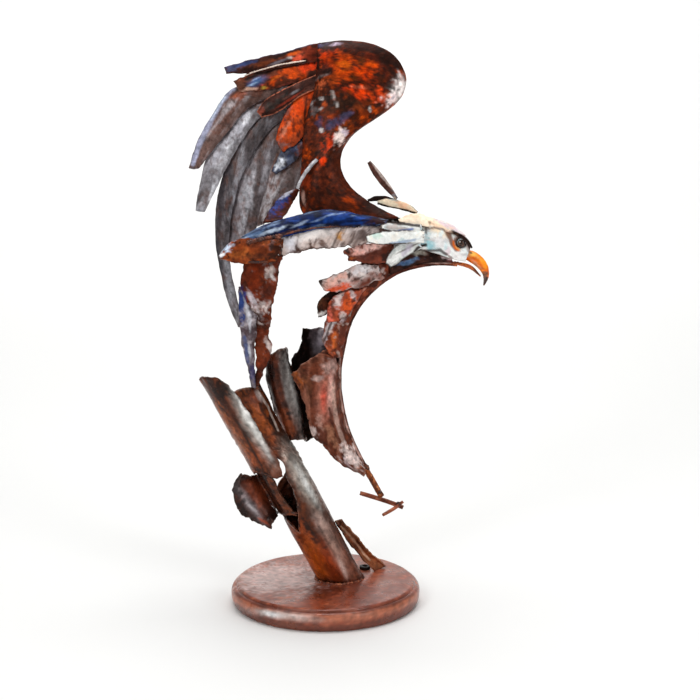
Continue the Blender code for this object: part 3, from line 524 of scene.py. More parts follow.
def quarter(start, end, steps, flat_first):
    """Points of a quarter ellipse between two profile points, without the first one."""
    profile = []
    for k in range(1, steps + 1):
        angle = 0.5 * math.pi * k / steps
        slow, fast = 1 - math.cos(angle), math.sin(angle)
        one, two = (fast, slow) if flat_first else (slow, fast)
        profile.append((start[0] + (end[0] - start[0]) * one, start[1] + (end[1] - start[1]) * two))
    return profile


def turned_base():
    """The base's profile turned finely, with rings enough on its top to hold the paint."""
    foot = (BASE_FOOT_RADIUS, 0.0)
    nose = (BASE_RADIUS, BASE_NOSE_HEIGHT)
    groove = (BASE_GROOVE_RADIUS, BASE_GROOVE_HEIGHT)
    flat = (BASE_FLAT_RADIUS, BASE_THICKNESS)
    below, above, rim = BASE_STEPS
    profile = [foot] + quarter(foot, nose, below, True) + quarter(nose, groove, above, False)
    profile += quarter(groove, flat, rim, False)
    profile += [(BASE_FLAT_RADIUS * share, BASE_THICKNESS) for share in np.linspace(*BASE_TOP_RINGS)]
    turns = np.arange(BASE_SIDES) * 2 * math.pi / BASE_SIDES
    piece = ringed("base_fine", [[(r * math.cos(a), r * math.sin(a), z) for a in turns] for r, z in profile])
    points = points_of(piece.data)
    wave = drift(points, *BASE_WAVE) * BASE_WAVE_DEPTH
    wave[points[:, 2] < BASE_LEVEL_BELOW] = 0
    piece.data.vertices.foreach_set("co", (points + wave).ravel())
    finish_piece(piece, points, np.full(len(points), NO_RIM), DISC, "base_patina", *BASE_PAINT)
    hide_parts("base_disc")


turned_base()


# Each piece: its finish, how torn its rims are, its wash and its layers

# The pale glows from 291, 452 and 302, 478 down to 343, 568, and the pale line and glow near 258, 391, are
# painted highlights; the near-black patch at 288, 508 is painted shade in the open hollow.
dress("trunk_tube", BARK, 0.8, (64, 31, 17), (streak, (104, 50, 24), 8, 0.5, 1, 60),
    (streak, (30, 16, 11), 5, 0.34, 2, 60), ((160, 78, 32), 259, 418, 7, 26, -28),
    ((128, 60, 26), 272, 444, 5, 16, -28, 0.7), ((92, 48, 40), 252, 400, 8, 8, 0, 0.6),
    ((174, 86, 22), 313, 560, 13, 24, -28, 0.9), (glow, (206, 96, 14), 318, 564, 10, 16, -24),
    ((150, 66, 24), 300, 530, 8, 26, -30, 0.75), ((128, 66, 42), 344, 562, 9, 30, -28, 0.85),
    (glow, (158, 62, 22), 330, 562, 13, 28, -28, 0.95), (glow, (190, 182, 172), 302, 478, 10, 42, -28, 0.95),
    (glow, (250, 250, 246), 306, 483, 4, 28, -29, 1.0), (glow, (130, 122, 116), 291, 452, 5, 16, -20, 0.7),
    ((44, 24, 17), 296, 500, 3, 16, -20, 0.7), ((64, 40, 32), 312, 516, 5, 10, -30, 0.7),
    (glow, (196, 168, 158), 322, 524, 7, 16, -30), (glow, (178, 142, 128), 334, 545, 7, 34, -28),
    (glow, (214, 186, 176), 343, 568, 3, 14, -24, 0.7),
    (line, (58, 30, 20), 1.4, 0.5, [(318, 524), (328, 544), (338, 560)]),
    ((60, 30, 20), 347, 546, 2.4, 28, -28, 0.7),
    (line, (200, 182, 172), 1.1, 0.8, [(258, 391), (268, 407), (278, 430)]),
    (glow, (216, 200, 194), 259, 396, 3, 7, -30), ((12, 8, 7), 288, 508, 8, 22, -27, 0.95),
    (cloud, (34, 19, 13), 4, 0.16, 3, 0.5), (rim_wear_and_painted_light, (150, 112, 98), 0.8, 0.5))
# The pale glows from 248, 417 to 264, 448 are painted highlights.
dress("trunk_left_lobe", BARK, 1.6, (72, 34, 20), (streak, (122, 60, 30), 8, 0.45, 4, 60),
    (streak, (34, 18, 12), 5, 0.34, 5, 60), ((150, 78, 38), 234, 434, 5, 34, -29, 0.85),
    ((142, 66, 28), 258, 458, 9, 12, -29, 0.7), (glow, (176, 172, 166), 250, 424, 7.5, 52, -29, 0.95),
    (glow, (248, 246, 242), 248, 417, 3.2, 40, -29, 1.0),
    (glow, (196, 190, 186), 264, 448, 3.0, 18, -30, 0.9), ((20, 12, 10), 222, 388, 13, 8, 40, 0.9),
    (line, (44, 26, 20), 1.2, 0.8, [(236, 420), (250, 446), (262, 466)]),
    (cloud, (34, 19, 13), 4, 0.16, 100, 0.5), (rim_wear_and_painted_light, (84, 50, 40), 0.9, 0.6))
# The pale glows at 291, 394 and 292, 386 are painted highlights.
dress("trunk_right_lobe", BARK, 1.6, (48, 22, 15), (streak, (92, 42, 22), 8, 0.45, 6, 75),
    ((20, 12, 10), 272, 385, 6, 30, -12, 0.9), ((136, 66, 34), 288, 424, 11, 13, -8, 0.85),
    ((96, 46, 28), 280, 400, 4, 22, -12, 0.6), (glow, (196, 190, 186), 291, 394, 6, 44, -14, 0.95),
    (glow, (250, 248, 244), 292, 386, 2.6, 32, -13, 1.0), (cloud, (26, 15, 11), 4, 0.16, 101, 0.5),
    (rim_wear_and_painted_light, (120, 84, 70), 0.8, 0.6))
# The dark patch at 262, 474 is a painted shadow under the left lobe's edge.
dress("trunk_side_strip", BARK, 0.9, (70, 34, 20), (streak, (122, 62, 32), 6, 0.4, 7, 55),
    (cloud, (30, 17, 13), 6, 0.36, 8), ((26, 15, 12), 262, 474, 12, 5, 10), (rim_wear_and_painted_light, (116, 82, 68), 0.8, 0.5))
# The grey and pale glows at 246, 500 and 252, 508 are a painted highlight along the shard's bulge.
dress("trunk_shard", BARK, 1.8, (58, 30, 22), (cloud, (104, 52, 34), 11, 0.4, 9),
    (cloud, (26, 17, 15), 6, 0.36, 102), (glow, (126, 56, 30), 258, 492, 12, 20, -36, 0.95),
    (glow, (140, 128, 130), 246, 500, 5, 34, -38, 0.9), (glow, (196, 188, 190), 252, 508, 2.2, 11, -42),
    ((30, 20, 19), 236, 490, 5, 22, -14), ((70, 36, 26), 266, 508, 7, 4, 0, 0.6),
    ((22, 14, 12), 244, 476, 14, 3.4, 0, 0.7), ((150, 62, 30), 264, 522, 8, 1.6, 30, 0.7),
    (rim_wear_and_painted_light, (84, 52, 42), 0.9, 0.6))
# The pale line is a painted highlight along the twig, and the dark line is painted shade inside its channel.
dress("trunk_twig", BARK, 1.0, (128, 70, 42), (streak, (170, 112, 80), 5, 0.36, 10, 50),
    (cloud, (58, 32, 22), 5, 0.26, 11), (glow, (176, 104, 62), 374, 557, 9, 20, -45),
    (line, (206, 172, 144), 1.1, 0.7, [(337, 522), (348, 534), (358, 546), (370, 560)]),
    (line, (40, 22, 16), 1.4, 0.8, [(336, 526), (346, 540), (358, 555)]), (rim_wear_and_painted_light, (150, 104, 80), 0.8, 0.5))
dress("foot_ring", WIRE, 0.0, (16, 12, 11), (cloud, (60, 34, 24), 4, 0.3, 1))
leg = dress("leg_bar", WIRE, 0.0, (150, 78, 40), (cloud, (84, 38, 20), 4, 0.45, 12),
    (cloud, (206, 128, 74), 3, 0.25, 13))
ribbed(leg)
dress("long_toe", WIRE, 0.0, (128, 64, 42), (cloud, (74, 35, 24), 5, 0.45, 14),
    (cloud, (182, 108, 76), 4, 0.28, 15))
dress("cross_toe", WIRE, 0.0, (150, 80, 54), (cloud, (84, 40, 27), 5, 0.4, 16),
    (cloud, (196, 124, 90), 4, 0.28, 17))
# The pale line along the rim is a painted highlight on the rod.
dress("breast_rim", LACQUER, 0.0, (92, 44, 32), (cloud, (60, 28, 20), 9, 0.4, 18),
    (cloud, (130, 78, 62), 5, 0.26, 19),
    (line, (210, 168, 156), 1.4, 0.85, [(455, 262.5), (420, 262), (398, 267), (379, 279), (364, 294),
     (352, 312), (343, 334), (339.5, 362), (339.5, 392), (343, 416), (350, 436), (362, 462)]),
    ((206, 110, 46), 466, 264, 14, 4, 0, 0.9))
dress("thigh_plate", LACQUER, 1.8, (108, 54, 36), (cloud, (70, 33, 22), 9, 0.4, 20),
    (streak, (156, 100, 80), 5, 0.3, 21, 84), (glow, (196, 122, 104), 326, 396, 11, 34, 4, 0.75),
    (glow, (208, 82, 64), 324, 398, 4, 15, 0, 0.9), (glow, (232, 180, 168), 331, 390, 3.4, 26, 2),
    ((196, 160, 150), 329, 365, 6, 9, 20, 0.75), ((188, 158, 150), 318, 378, 6, 2.6, -10, 0.75),
    ((156, 80, 34), 297, 377, 4, 11, -26, 0.85), ((96, 60, 40), 306, 384, 4, 14, -16, 0.5),
    ((84, 46, 32), 312, 362, 9, 5, -30, 0.6),
    (line, (206, 168, 154), 2.2, 0.75, [(333, 384), (333.5, 404), (337, 424), (343, 440)]),
    (line, (70, 32, 22), 1.6, 0.8, [(329, 408), (333, 428), (338, 444)]),
    ((236, 214, 208), 351, 456, 8, 13, -34, 0.95), ((196, 176, 182), 347, 462, 2, 7, -30, 0.6),
    ((222, 200, 194), 313, 432, 5, 5, -40, 0.92), ((186, 144, 130), 320, 421, 4, 8, -10, 0.6),
    ((176, 120, 92), 332, 436, 4, 12, -24, 0.6), ((200, 112, 80), 330, 355, 5, 2, 10, 0.6),
    (cloud, (50, 26, 18), 3, 0.16, 103, 0.5),
    (line, (46, 24, 18), 1.2, 0.8, [(321, 352), (331, 355), (340, 354)]), (rim_wear_and_painted_light, (172, 116, 94), 0.9, 0.6))
dress("breast_plate", LACQUER, 1.2, (128, 60, 40), (cloud, (70, 34, 24), 7, 0.4, 24),
    ((204, 192, 194), 327, 332, 3.5, 12, 24, 0.9), ((212, 206, 208), 333, 324, 3, 8, 30, 0.85),
    ((190, 92, 40), 335, 341, 3, 9, 10), ((186, 170, 172), 342, 318, 3.4, 5, 20, 0.85),
    ((196, 96, 60), 328, 351, 6, 4, 0, 0.75), ((104, 50, 36), 344, 336, 4, 18, 12, 0.7),
    (line, (60, 32, 26), 1.4, 0.85, [(331, 322), (326, 336), (322, 345)]),
    (cloud, (206, 186, 176), 4, 0.14, 25, 0.6), (rim_wear_and_painted_light, (60, 30, 22), 0.9, 0.5))
dress("breast_scale_low", PAINTED, 1.2, (172, 74, 44), ((216, 196, 192), 337, 300, 6, 9, 12, 0.95),
    (cloud, (96, 42, 28), 6, 0.34, 26), ((228, 88, 28), 348, 303, 4, 11, 14, 0.92),
    ((222, 104, 84), 328, 317, 4, 11, 0, 0.85), ((214, 200, 200), 352, 293, 2.6, 7, -20, 0.9),
    ((150, 62, 34), 360, 294, 6, 6, -40, 0.7), ((206, 150, 130), 366, 288, 5, 3, -30, 0.6),
    ((206, 190, 186), 343, 316, 5, 4, 20, 0.85), (cloud, (56, 26, 18), 3.5, 0.2, 104),
    (rim_wear_and_painted_light, (60, 28, 20), 0.9, 0.6))
dress("breast_scale_dark", LACQUER, 1.2, (36, 19, 14), (cloud, (92, 46, 28), 5, 0.32, 27),
    ((96, 56, 34), 320, 303, 2, 7, 16, 0.6), ((240, 234, 230), 320, 313.5, 5, 2.4, -10, 0.95),
    ((30, 18, 14), 322, 317, 5, 1.2, 0, 0.9))
dress("breast_scale_middle", PAINTED, 1.4, (206, 182, 176), (cloud, (140, 84, 70), 8, 0.36, 28),
    (cloud, (236, 226, 222), 5, 0.3, 29), ((232, 176, 160), 336, 280, 13, 5, -26, 0.92),
    ((222, 78, 30), 337, 289, 14, 3.2, -16, 0.95), ((226, 220, 222), 362, 269, 11, 6, -20, 0.85),
    ((30, 19, 16), 320, 282, 6, 6, 0, 0.95),
    (line, (32, 20, 17), 2.0, 0.95, [(322, 279), (338, 271), (356, 263)]),
    (glow, (104, 44, 26), 366, 282, 22, 6, -34, 1.0), (glow, (206, 74, 28), 336, 288, 18, 4, -18, 0.9),
    ((60, 40, 36), 349, 275, 1.6, 5, 14, 0.9), ((70, 48, 42), 357, 279, 7, 1.6, -16, 0.85),
    ((216, 204, 202), 378, 268, 3, 6, 10), ((120, 66, 50), 371, 275, 3, 3, 0, 0.7),
    (cloud, (52, 32, 27), 3, 0.2, 105), (rim_wear_and_painted_light, (66, 34, 26), 0.9, 0.6))
dress("breast_scale_top", PAINTED, 1.4, (120, 54, 34), ((240, 192, 182), 364, 248, 20, 6.5, -6, 0.97),
    ((232, 160, 144), 356, 252, 8, 3, -20, 0.7),
    (line, (86, 36, 22), 4.2, 0.95, [(350, 259), (366, 257), (382, 252), (392, 246)]),
    ((176, 84, 34), 351, 258, 5, 1.6, -8), ((32, 19, 15), 347, 250.5, 5, 3, 30, 0.95),
    (cloud, (112, 56, 44), 3, 0.16, 30, 0.7), ((50, 26, 20), 388, 256, 8, 6, 0, 0.85),
    (rim_wear_and_painted_light, (70, 34, 26), 0.9, 0.6))
dress("throat_plate", LACQUER, 0.2, (58, 32, 25), (cloud, (30, 18, 14), 7, 0.4, 31),
    ((92, 122, 158), 409, 261.8, 12, 2.6, -14, 0.97), ((60, 84, 120), 404, 263, 8, 1.4, -16),
    ((184, 178, 166), 421, 253, 7, 3, -4, 0.9), ((34, 19, 15), 434, 255, 9, 4, 0, 0.9),
    ((226, 196, 198), 446, 257, 5, 4, 20, 0.92), ((90, 40, 38), 451, 261, 6, 1.6, 0, 0.85),
    (cloud, (104, 66, 56), 3, 0.16, 32, 0.6))
dress("throat_plate_far", LACQUER, 0.2, (62, 36, 28), (cloud, (34, 20, 16), 7, 0.4, 31),
    (cloud, (120, 96, 88), 4, 0.16, 32, 0.6))
dress("neck_web", LACQUER, 0.6, (96, 42, 27), (cloud, (54, 25, 17), 7, 0.42, 33),
    (cloud, (160, 76, 48), 5, 0.28, 34), ((214, 190, 184), 383, 271, 3, 4, 30, 0.85),
    ((150, 96, 80), 380, 266, 4, 3, 0, 0.7), ((196, 74, 28), 350, 306, 3, 12, 20, 0.7))
# The pale glow at 321, 336 and the patches at 315, 332 and 321, 330 are a painted highlight.
dress("inner_plate", LACQUER, 2.4, (28, 16, 12), (cloud, (12, 8, 7), 10, 0.4, 35),
    (cloud, (60, 34, 24), 8, 0.2, 136), (glow, (170, 160, 170), 321, 336, 9, 17, 14, 1.0),
    ((92, 80, 86), 315, 332, 5, 8, 0), ((212, 204, 208), 321, 330, 2, 5, 0),
    ((20, 13, 11), 326, 345, 3, 3, 0), (streak, (62, 50, 50), 3, 0.16, 137, 84, 0.6),
    (rim_wear_and_painted_light, (74, 52, 44), 0.8, 0.6))
dress("neck_plate_far", LACQUER, 1.0, (70, 32, 20), (cloud, (112, 46, 22), 12, 0.4, 133),
    (cloud, (30, 16, 12), 8, 0.34, 134), (streak, (150, 116, 106), 5, 0.18, 135, 70, 0.6),
    ((176, 60, 20), 360, 300, 10, 20, 20, 0.5), (rim_wear_and_painted_light, (120, 78, 60), 0.9, 0.6))
dress("shoulder_saddle", LACQUER, 0.5, (44, 21, 14), (cloud, (88, 38, 20), 12, 0.4, 130),
    (cloud, (20, 11, 8), 8, 0.34, 131), (streak, (120, 92, 84), 4, 0.14, 132, 10, 0.6),
    (rim_wear_and_painted_light, (110, 70, 54), 0.9, 0.5))
# The dark patch at 402, 222 is a painted shadow under the nape feather.
dress("head_shell", PAINTED, 0.0, (250, 252, 250), (cloud, (186, 222, 230), 8, 0.3, 36, 0.6),
    (streak, (190, 180, 180), 4, 0.24, 38, -8, 0.5), ((252, 230, 200), 430, 221, 38, 8, 14, 0.97),
    ((222, 198, 208), 450, 227, 22, 2.6, 30, 0.85), ((250, 206, 170), 432, 224, 20, 2, 14, 0.6),
    ((34, 20, 15), 402, 222, 22, 5, 4, 1.0),
    (line, (104, 82, 76), 1.3, 0.8, [(426, 229), (434, 228), (442, 229.5), (450, 234)]),
    (cloud, (150, 140, 138), 3, 0.12, 114, 0.5), ((150, 216, 228), 429, 242, 6, 7, 0),
    ((252, 250, 250), 440, 240, 6, 6, 0, 0.7), ((236, 226, 226), 462, 231, 14, 3, 44, 0.7),
    ((176, 148, 140), 468, 248, 3, 5, -20),
    (line, (120, 76, 56), 2.6, 0.9, [(447, 233), (450, 238), (452, 244), (456, 249)]),
    (arc, (226, 104, 26), 461, 243, 7.6, 1.5, 105, 200, 0.95),
    (arc, (240, 170, 96), 461, 243, 6.4, 0.9, 100, 150, 0.8),
    (arc, (126, 78, 60), 461, 242.5, 6.6, 2.0, 190, 300, 0.85),
    (arc, (40, 22, 17), 461, 242.5, 4.9, 1.6, 5, 355, 1.0),
    (line, (40, 22, 17), 2.0, 1.0, [(452, 232), (460, 235.5), (467, 241.5), (471, 249)]),
    ((232, 208, 216), 446, 252, 5, 4, 30, 0.7), ((250, 246, 244), 457, 256, 5, 2.5, 20),
    (line, (36, 22, 18), 1.5, 1.0, [(415, 251.5), (417.5, 248.2), (421, 246), (425.5, 245)]),
    ((150, 146, 136), 422, 250, 5, 3, -10, 0.85),
    (line, (58, 40, 36), 1.6, 0.85, [(424, 251), (432, 250.5), (440, 250), (446, 254)]),
    ((128, 96, 92), 450, 257, 4, 1.4, 30, 0.7), (line, (66, 52, 52), 1.0, 0.7, [(425.5, 226), (426, 233)]),
    (rim_wear_and_painted_light, (150, 118, 104), 0.6, 0.5))
for node in ("eye_near", "eye_far"):
    # The small pale dot is a painted highlight on the eye.
    dress(node, HORN, 0.0, (34, 20, 17), ((112, 74, 54), 461, 243, 2.8, 2.8, 0, 0.95),
        ((14, 9, 8), 461.5, 243, 1.7, 1.7, 0, 1.0), ((240, 236, 230), 460, 241.6, 0.6, 0.6, 0, 0.9))
for node in ("brow_near", "brow_far"):
    dress(node, LACQUER, 0.0, (40, 22, 17), (cloud, (16, 10, 9), 4, 0.4, 1),
        ((206, 176, 156), 446, 231, 11, 6, 20, 0.95), ((104, 66, 48), 455, 234, 4, 3, 0))
dress("beak_upper", HORN, 0.0, (250, 128, 10), ((255, 196, 90), 473, 255, 9, 2.4, 28, 0.85),
    (cloud, (236, 96, 6), 6, 0.3, 40, 0.7), ((255, 158, 20), 482, 262, 3, 8, -30),
    ((210, 150, 116), 476, 265, 8, 1.8, 44, 0.7), ((150, 92, 56), 484, 274, 4, 3, 0),
    ((52, 40, 38), 484, 284, 5, 9, 0, 0.97), ((236, 190, 150), 467, 252, 2.5, 4, 0, 0.7),
    ((120, 104, 98), 484, 279, 1.2, 4, 10, 0.6), ((70, 34, 20), 470.5, 252.5, 1.6, 1.0, 20))
dress("beak_lower", HORN, 0.0, (206, 104, 44), (cloud, (120, 58, 30), 4, 0.4, 41),
    ((236, 150, 70), 462, 263, 5, 1.2, 10), ((62, 34, 24), 478, 271, 8, 4, 40, 0.9))
dress("crest_upright", LACQUER, 0.2, (92, 58, 50), (streak, (44, 26, 21), 4, 0.45, 42, 50),
    ((200, 180, 172), 384, 178, 1.6, 22, -38, 0.9), ((120, 116, 120), 395, 196, 4, 5, 0))
dress("crest_dark", LACQUER, 0.4, (26, 15, 12), (cloud, (62, 38, 30), 5, 0.3, 43))
dress("crest_cream", PAINTED, 0.4, (250, 228, 198), ((244, 188, 150), 402, 204, 12, 3, 30),
    (cloud, (206, 206, 186), 6, 0.24, 44, 0.6), ((170, 180, 176), 393, 199.5, 6, 1.6, 14),
    ((150, 132, 110), 380, 200, 4, 2, -20, 0.6),
    (line, (30, 18, 13), 1.4, 1.0, [(377, 203.5), (390, 207.5), (402, 210), (416, 213.5)]),
    (rim_wear_and_painted_light, (54, 32, 24), 0.9, 0.85, 398, 214, 26, 9))
# The dark line along its lower edge is a painted shadow.
dress("nape_feather", PAINTED, 0.5, (252, 230, 204), ((246, 210, 180), 412, 217, 12, 2, 6, 0.6),
    (cloud, (240, 228, 208), 6, 0.35, 45, 0.5),
    (line, (34, 19, 14), 2.6, 1.0, [(396, 223), (405, 226), (414, 227.5), (427, 229)]),
    (rim_wear_and_painted_light, (60, 36, 26), 0.9, 0.8, 404, 230, 26, 8))
# The pink and pale patches and the glow at 391 to 399, 87 to 99 are a painted sheen on the rolled right rim,
# the pale patch at 340, 137 is a painted glint, and the rim marks at 398, 104 are a painted rim highlight.
dress("wing_shield", LACQUER, 0.2, (84, 30, 10), (cloud, (120, 42, 10), 18, 0.5, 50),
    (cloud, (44, 22, 12), 9, 0.36, 51), ((212, 58, 6), 327, 58, 12, 11, -16, 0.95),
    ((210, 70, 8), 347, 66, 18, 15, 0, 0.95), ((222, 98, 16), 344, 65, 7, 4, 0),
    ((210, 66, 6), 374, 63, 10, 7, 30, 0.9), ((232, 66, 2), 367, 74, 13, 7, 10, 0.95),
    ((96, 30, 10), 388, 67, 9, 9, 0, 0.85), ((190, 74, 20), 330, 78, 9, 7, -30),
    ((58, 34, 8), 363, 61, 4, 4, 0, 0.85), ((66, 38, 10), 354, 77, 3.5, 5, 0, 0.85),
    ((120, 48, 14), 372, 51, 20, 3, 12, 0.7), (cloud, (70, 30, 10), 6, 0.3, 52, 0.7),
    (cloud, (226, 84, 8), 4, 0.14, 57, 0.6), ((84, 34, 18), 334, 184, 32, 44, 0, 0.85),
    ((80, 34, 20), 312, 130, 8, 26, 0, 0.7),
    (line, (54, 20, 8), 2.2, 0.85, [(338, 87), (350, 83), (364, 82), (376, 86), (388, 82)]),
    ((246, 68, 10), 359, 91.5, 16, 5.5, 8, 0.97), ((240, 74, 20), 380, 94, 9, 7, 30, 0.95),
    ((236, 120, 84), 358, 87, 12, 1.6, 2, 0.7), ((60, 22, 8), 371, 90, 1.6, 7, -30, 0.7),
    (line, (40, 16, 9), 5, 0.95, [(322, 45), (345, 44), (368, 48), (388, 56), (398, 66)]),
    (line, (34, 14, 9), 3, 0.85, [(346, 51), (366, 55), (384, 62), (393, 72)]),
    ((176, 158, 176), 336, 44, 6, 1.5, -8), ((70, 62, 92), 318, 45, 12, 2, -10, 0.85),
    ((60, 32, 26), 320, 74, 13, 6, -24, 0.85), ((120, 108, 106), 322, 77, 8, 1.6, -26, 0.7),
    ((36, 20, 16), 327, 71, 8, 2, -24), ((206, 96, 54), 319, 87, 4, 7, 34, 0.85),
    ((236, 150, 118), 391, 96, 8, 11, 26), ((252, 242, 238), 399, 87, 7.5, 12, 10, 1.0),
    (glow, (252, 240, 236), 399, 90, 8, 16, 14, 1.0), ((248, 226, 224), 391, 99, 9, 6, -36, 0.97),
    ((52, 44, 42), 390, 84, 3.5, 5, 20, 0.85), ((190, 176, 190), 393, 97, 3, 1.5, -40, 0.6),
    (streak, (64, 40, 34), 3, 0.08, 109, -50, 0.6), ((58, 34, 22), 340, 106, 22, 9, -12, 0.9),
    ((74, 34, 20), 318, 104, 16, 14, 0, 0.85), ((40, 30, 26), 326, 100, 16, 6, -30),
    ((146, 62, 24), 362, 107, 10, 4, -16, 0.75), ((160, 66, 20), 344, 126, 12, 7, -40, 0.7),
    ((190, 178, 172), 333.5, 96, 1.8, 6, -14, 0.85), ((170, 160, 160), 312, 103, 3.5, 2, -30),
    ((214, 204, 200), 321, 99, 3, 1.8, 30, 0.85), ((186, 178, 176), 321, 109, 3, 1.6, -30, 0.85),
    ((110, 100, 100), 313, 110, 4, 4, 0, 0.6), ((200, 84, 34), 325, 105, 2.5, 3, 0),
    ((196, 190, 186), 337, 104, 1.4, 4, -14), (cloud, (34, 22, 18), 3.5, 0.26, 53),
    ((58, 62, 92), 333, 124, 9, 4, -32), ((66, 68, 98), 347, 115, 6, 3.6, -26, 0.75),
    ((50, 54, 84), 320, 122, 5, 5, 0, 0.7), ((220, 210, 208), 321, 130, 1.8, 2.4, -20, 0.95),
    ((222, 214, 210), 370.5, 109, 1.2, 3, 0, 0.9), ((208, 56, 4), 329, 143, 9, 9, 0, 0.95),
    ((250, 228, 220), 340, 137, 4, 10, 20, 0.97), ((210, 196, 214), 344, 132, 3, 3, 0, 0.7),
    ((248, 66, 4), 324, 162, 3, 4.5, 0, 0.95), ((150, 52, 20), 306, 178, 5, 9, 0, 0.7),
    ((196, 70, 10), 350, 201, 8, 3.5, 24, 0.65), ((44, 20, 13), 376, 211, 26, 5, 28, 0.85),
    ((224, 176, 160), 304, 197, 1.6, 9, -8, 0.6), ((40, 18, 12), 316, 196, 5, 18, 0, 0.6),
    (cloud, (26, 14, 10), 4, 0.12, 110, 0.6), (line, (30, 14, 9), 1.6, 0.9, [(318.5, 53), (318, 68)]),
    (rim_wear_and_painted_light, (226, 120, 80), 1.2, 0.85, 398, 104, 40, 34))
dress("wing_top_feather", LACQUER, 0.9, (66, 32, 23), (streak, (112, 52, 30), 6, 0.32, 54, -16),
    (cloud, (40, 21, 17), 7, 0.34, 55), ((74, 76, 104), 232, 68, 13, 4, -16, 0.95),
    ((56, 72, 118), 243, 64, 14, 2.4, -16, 0.9), ((44, 23, 19), 250, 68, 12, 3, -16),
    ((122, 56, 26), 264, 62, 12, 2.6, -16, 0.75), ((112, 106, 114), 278, 61.5, 11, 1.8, -16),
    ((200, 190, 186), 290, 57, 3, 1.8, 0, 0.9), ((214, 88, 26), 293, 53.5, 9, 2.0, -14, 0.95),
    ((218, 84, 54), 300, 56.5, 6, 3.2, -20, 0.95), ((128, 46, 26), 311, 52, 8, 7, 0, 0.85),
    ((38, 22, 20), 282, 53.5, 8, 2.4, -16),
    (line, (84, 78, 108), 1.6, 0.9, [(224, 67), (250, 59), (284, 50), (320, 41)]),
    (rim_wear_and_painted_light, (70, 56, 60), 0.8, 0.5))
dress("wing_edge_feather", LACQUER, 0.9, (84, 40, 26), (streak, (116, 58, 38), 6, 0.34, 56, -20),
    (cloud, (50, 26, 19), 6, 0.3, 111), ((210, 74, 16), 292, 73, 27, 6, -20, 0.97),
    ((226, 62, 20), 308, 66, 10, 5, -20, 0.9), ((232, 110, 30), 276, 78, 8, 1.6, -24, 0.6),
    ((50, 25, 17), 294, 84, 27, 2.8, -20, 0.9), ((130, 60, 46), 284, 85, 14, 1.2, -22, 0.7),
    ((70, 58, 58), 254, 76, 12, 2.4, -26, 0.85), (glow, (62, 98, 150), 257.5, 81.5, 11, 4.6, -24, 1.0),
    ((150, 176, 210), 253, 84, 7, 0.9, -22, 0.85), ((150, 176, 210), 256, 79, 6, 0.7, -24, 0.7),
    ((192, 156, 60), 263.5, 87.5, 2.6, 1.6, 0, 0.95), ((212, 170, 150), 249, 88.5, 9, 2.0, -8, 0.9),
    ((112, 66, 48), 239, 84, 5, 5, 0, 0.7),
    (line, (40, 22, 18), 1.5, 0.9, [(246, 79), (262, 73), (284, 67), (304, 63)]),
    (rim_wear_and_painted_light, (140, 96, 82), 0.8, 0.5))
# The pale lines along the left edge are a painted highlight.
dress("wing_primary_1", BRUSHED, 0.5, (112, 88, 82), (streak, (66, 44, 38), 6, 0.42, 57, 124),
    (streak, (156, 146, 148), 4, 0.3, 58, 124), ((104, 66, 54), 228, 118, 3.5, 26, 38, 0.75),
    ((140, 66, 34), 240, 94, 9, 5, -40, 0.85), ((178, 168, 170), 229, 108, 3.5, 11, 40, 0.75),
    ((100, 58, 44), 256, 92, 12, 4, -20),
    (line, (158, 160, 184), 3.4, 0.95, [(233, 88), (221, 101), (210, 121), (200, 144), (193, 163)]),
    (line, (196, 206, 228), 1.8, 0.85, [(225, 97), (217, 108), (211, 119)]),
    ((120, 88, 80), 204, 152, 4, 16, 24, 0.5), (cloud, (54, 40, 38), 4, 0.16, 112, 0.6),
    (rim_wear_and_painted_light, (120, 112, 120), 0.8, 0.5))
# The whitish patches at 229, 146, 222, 160 and 213, 190 are a painted highlight.
dress("wing_primary_2", BRUSHED, 0.5, (134, 130, 134), (streak, (84, 76, 78), 6, 0.4, 59, 120),
    (streak, (182, 180, 188), 5, 0.34, 60, 120), ((108, 62, 44), 258, 102, 14, 5, -30),
    ((188, 186, 194), 239, 128, 6, 20, 36, 0.85), ((234, 234, 240), 247, 120, 2.4, 8, 36, 0.9),
    ((196, 194, 200), 222, 160, 4, 20, 28, 0.75), ((60, 46, 46), 252, 106, 4, 7, 36, 0.7),
    ((226, 226, 232), 229, 146, 1.6, 9, 32), ((90, 62, 52), 206, 198, 6, 8, 0, 0.55),
    ((222, 222, 228), 213, 190, 2.2, 14, 22), (cloud, (86, 62, 54), 4, 0.2, 87, 0.6),
    (rim_wear_and_painted_light, (150, 150, 158), 0.8, 0.5))
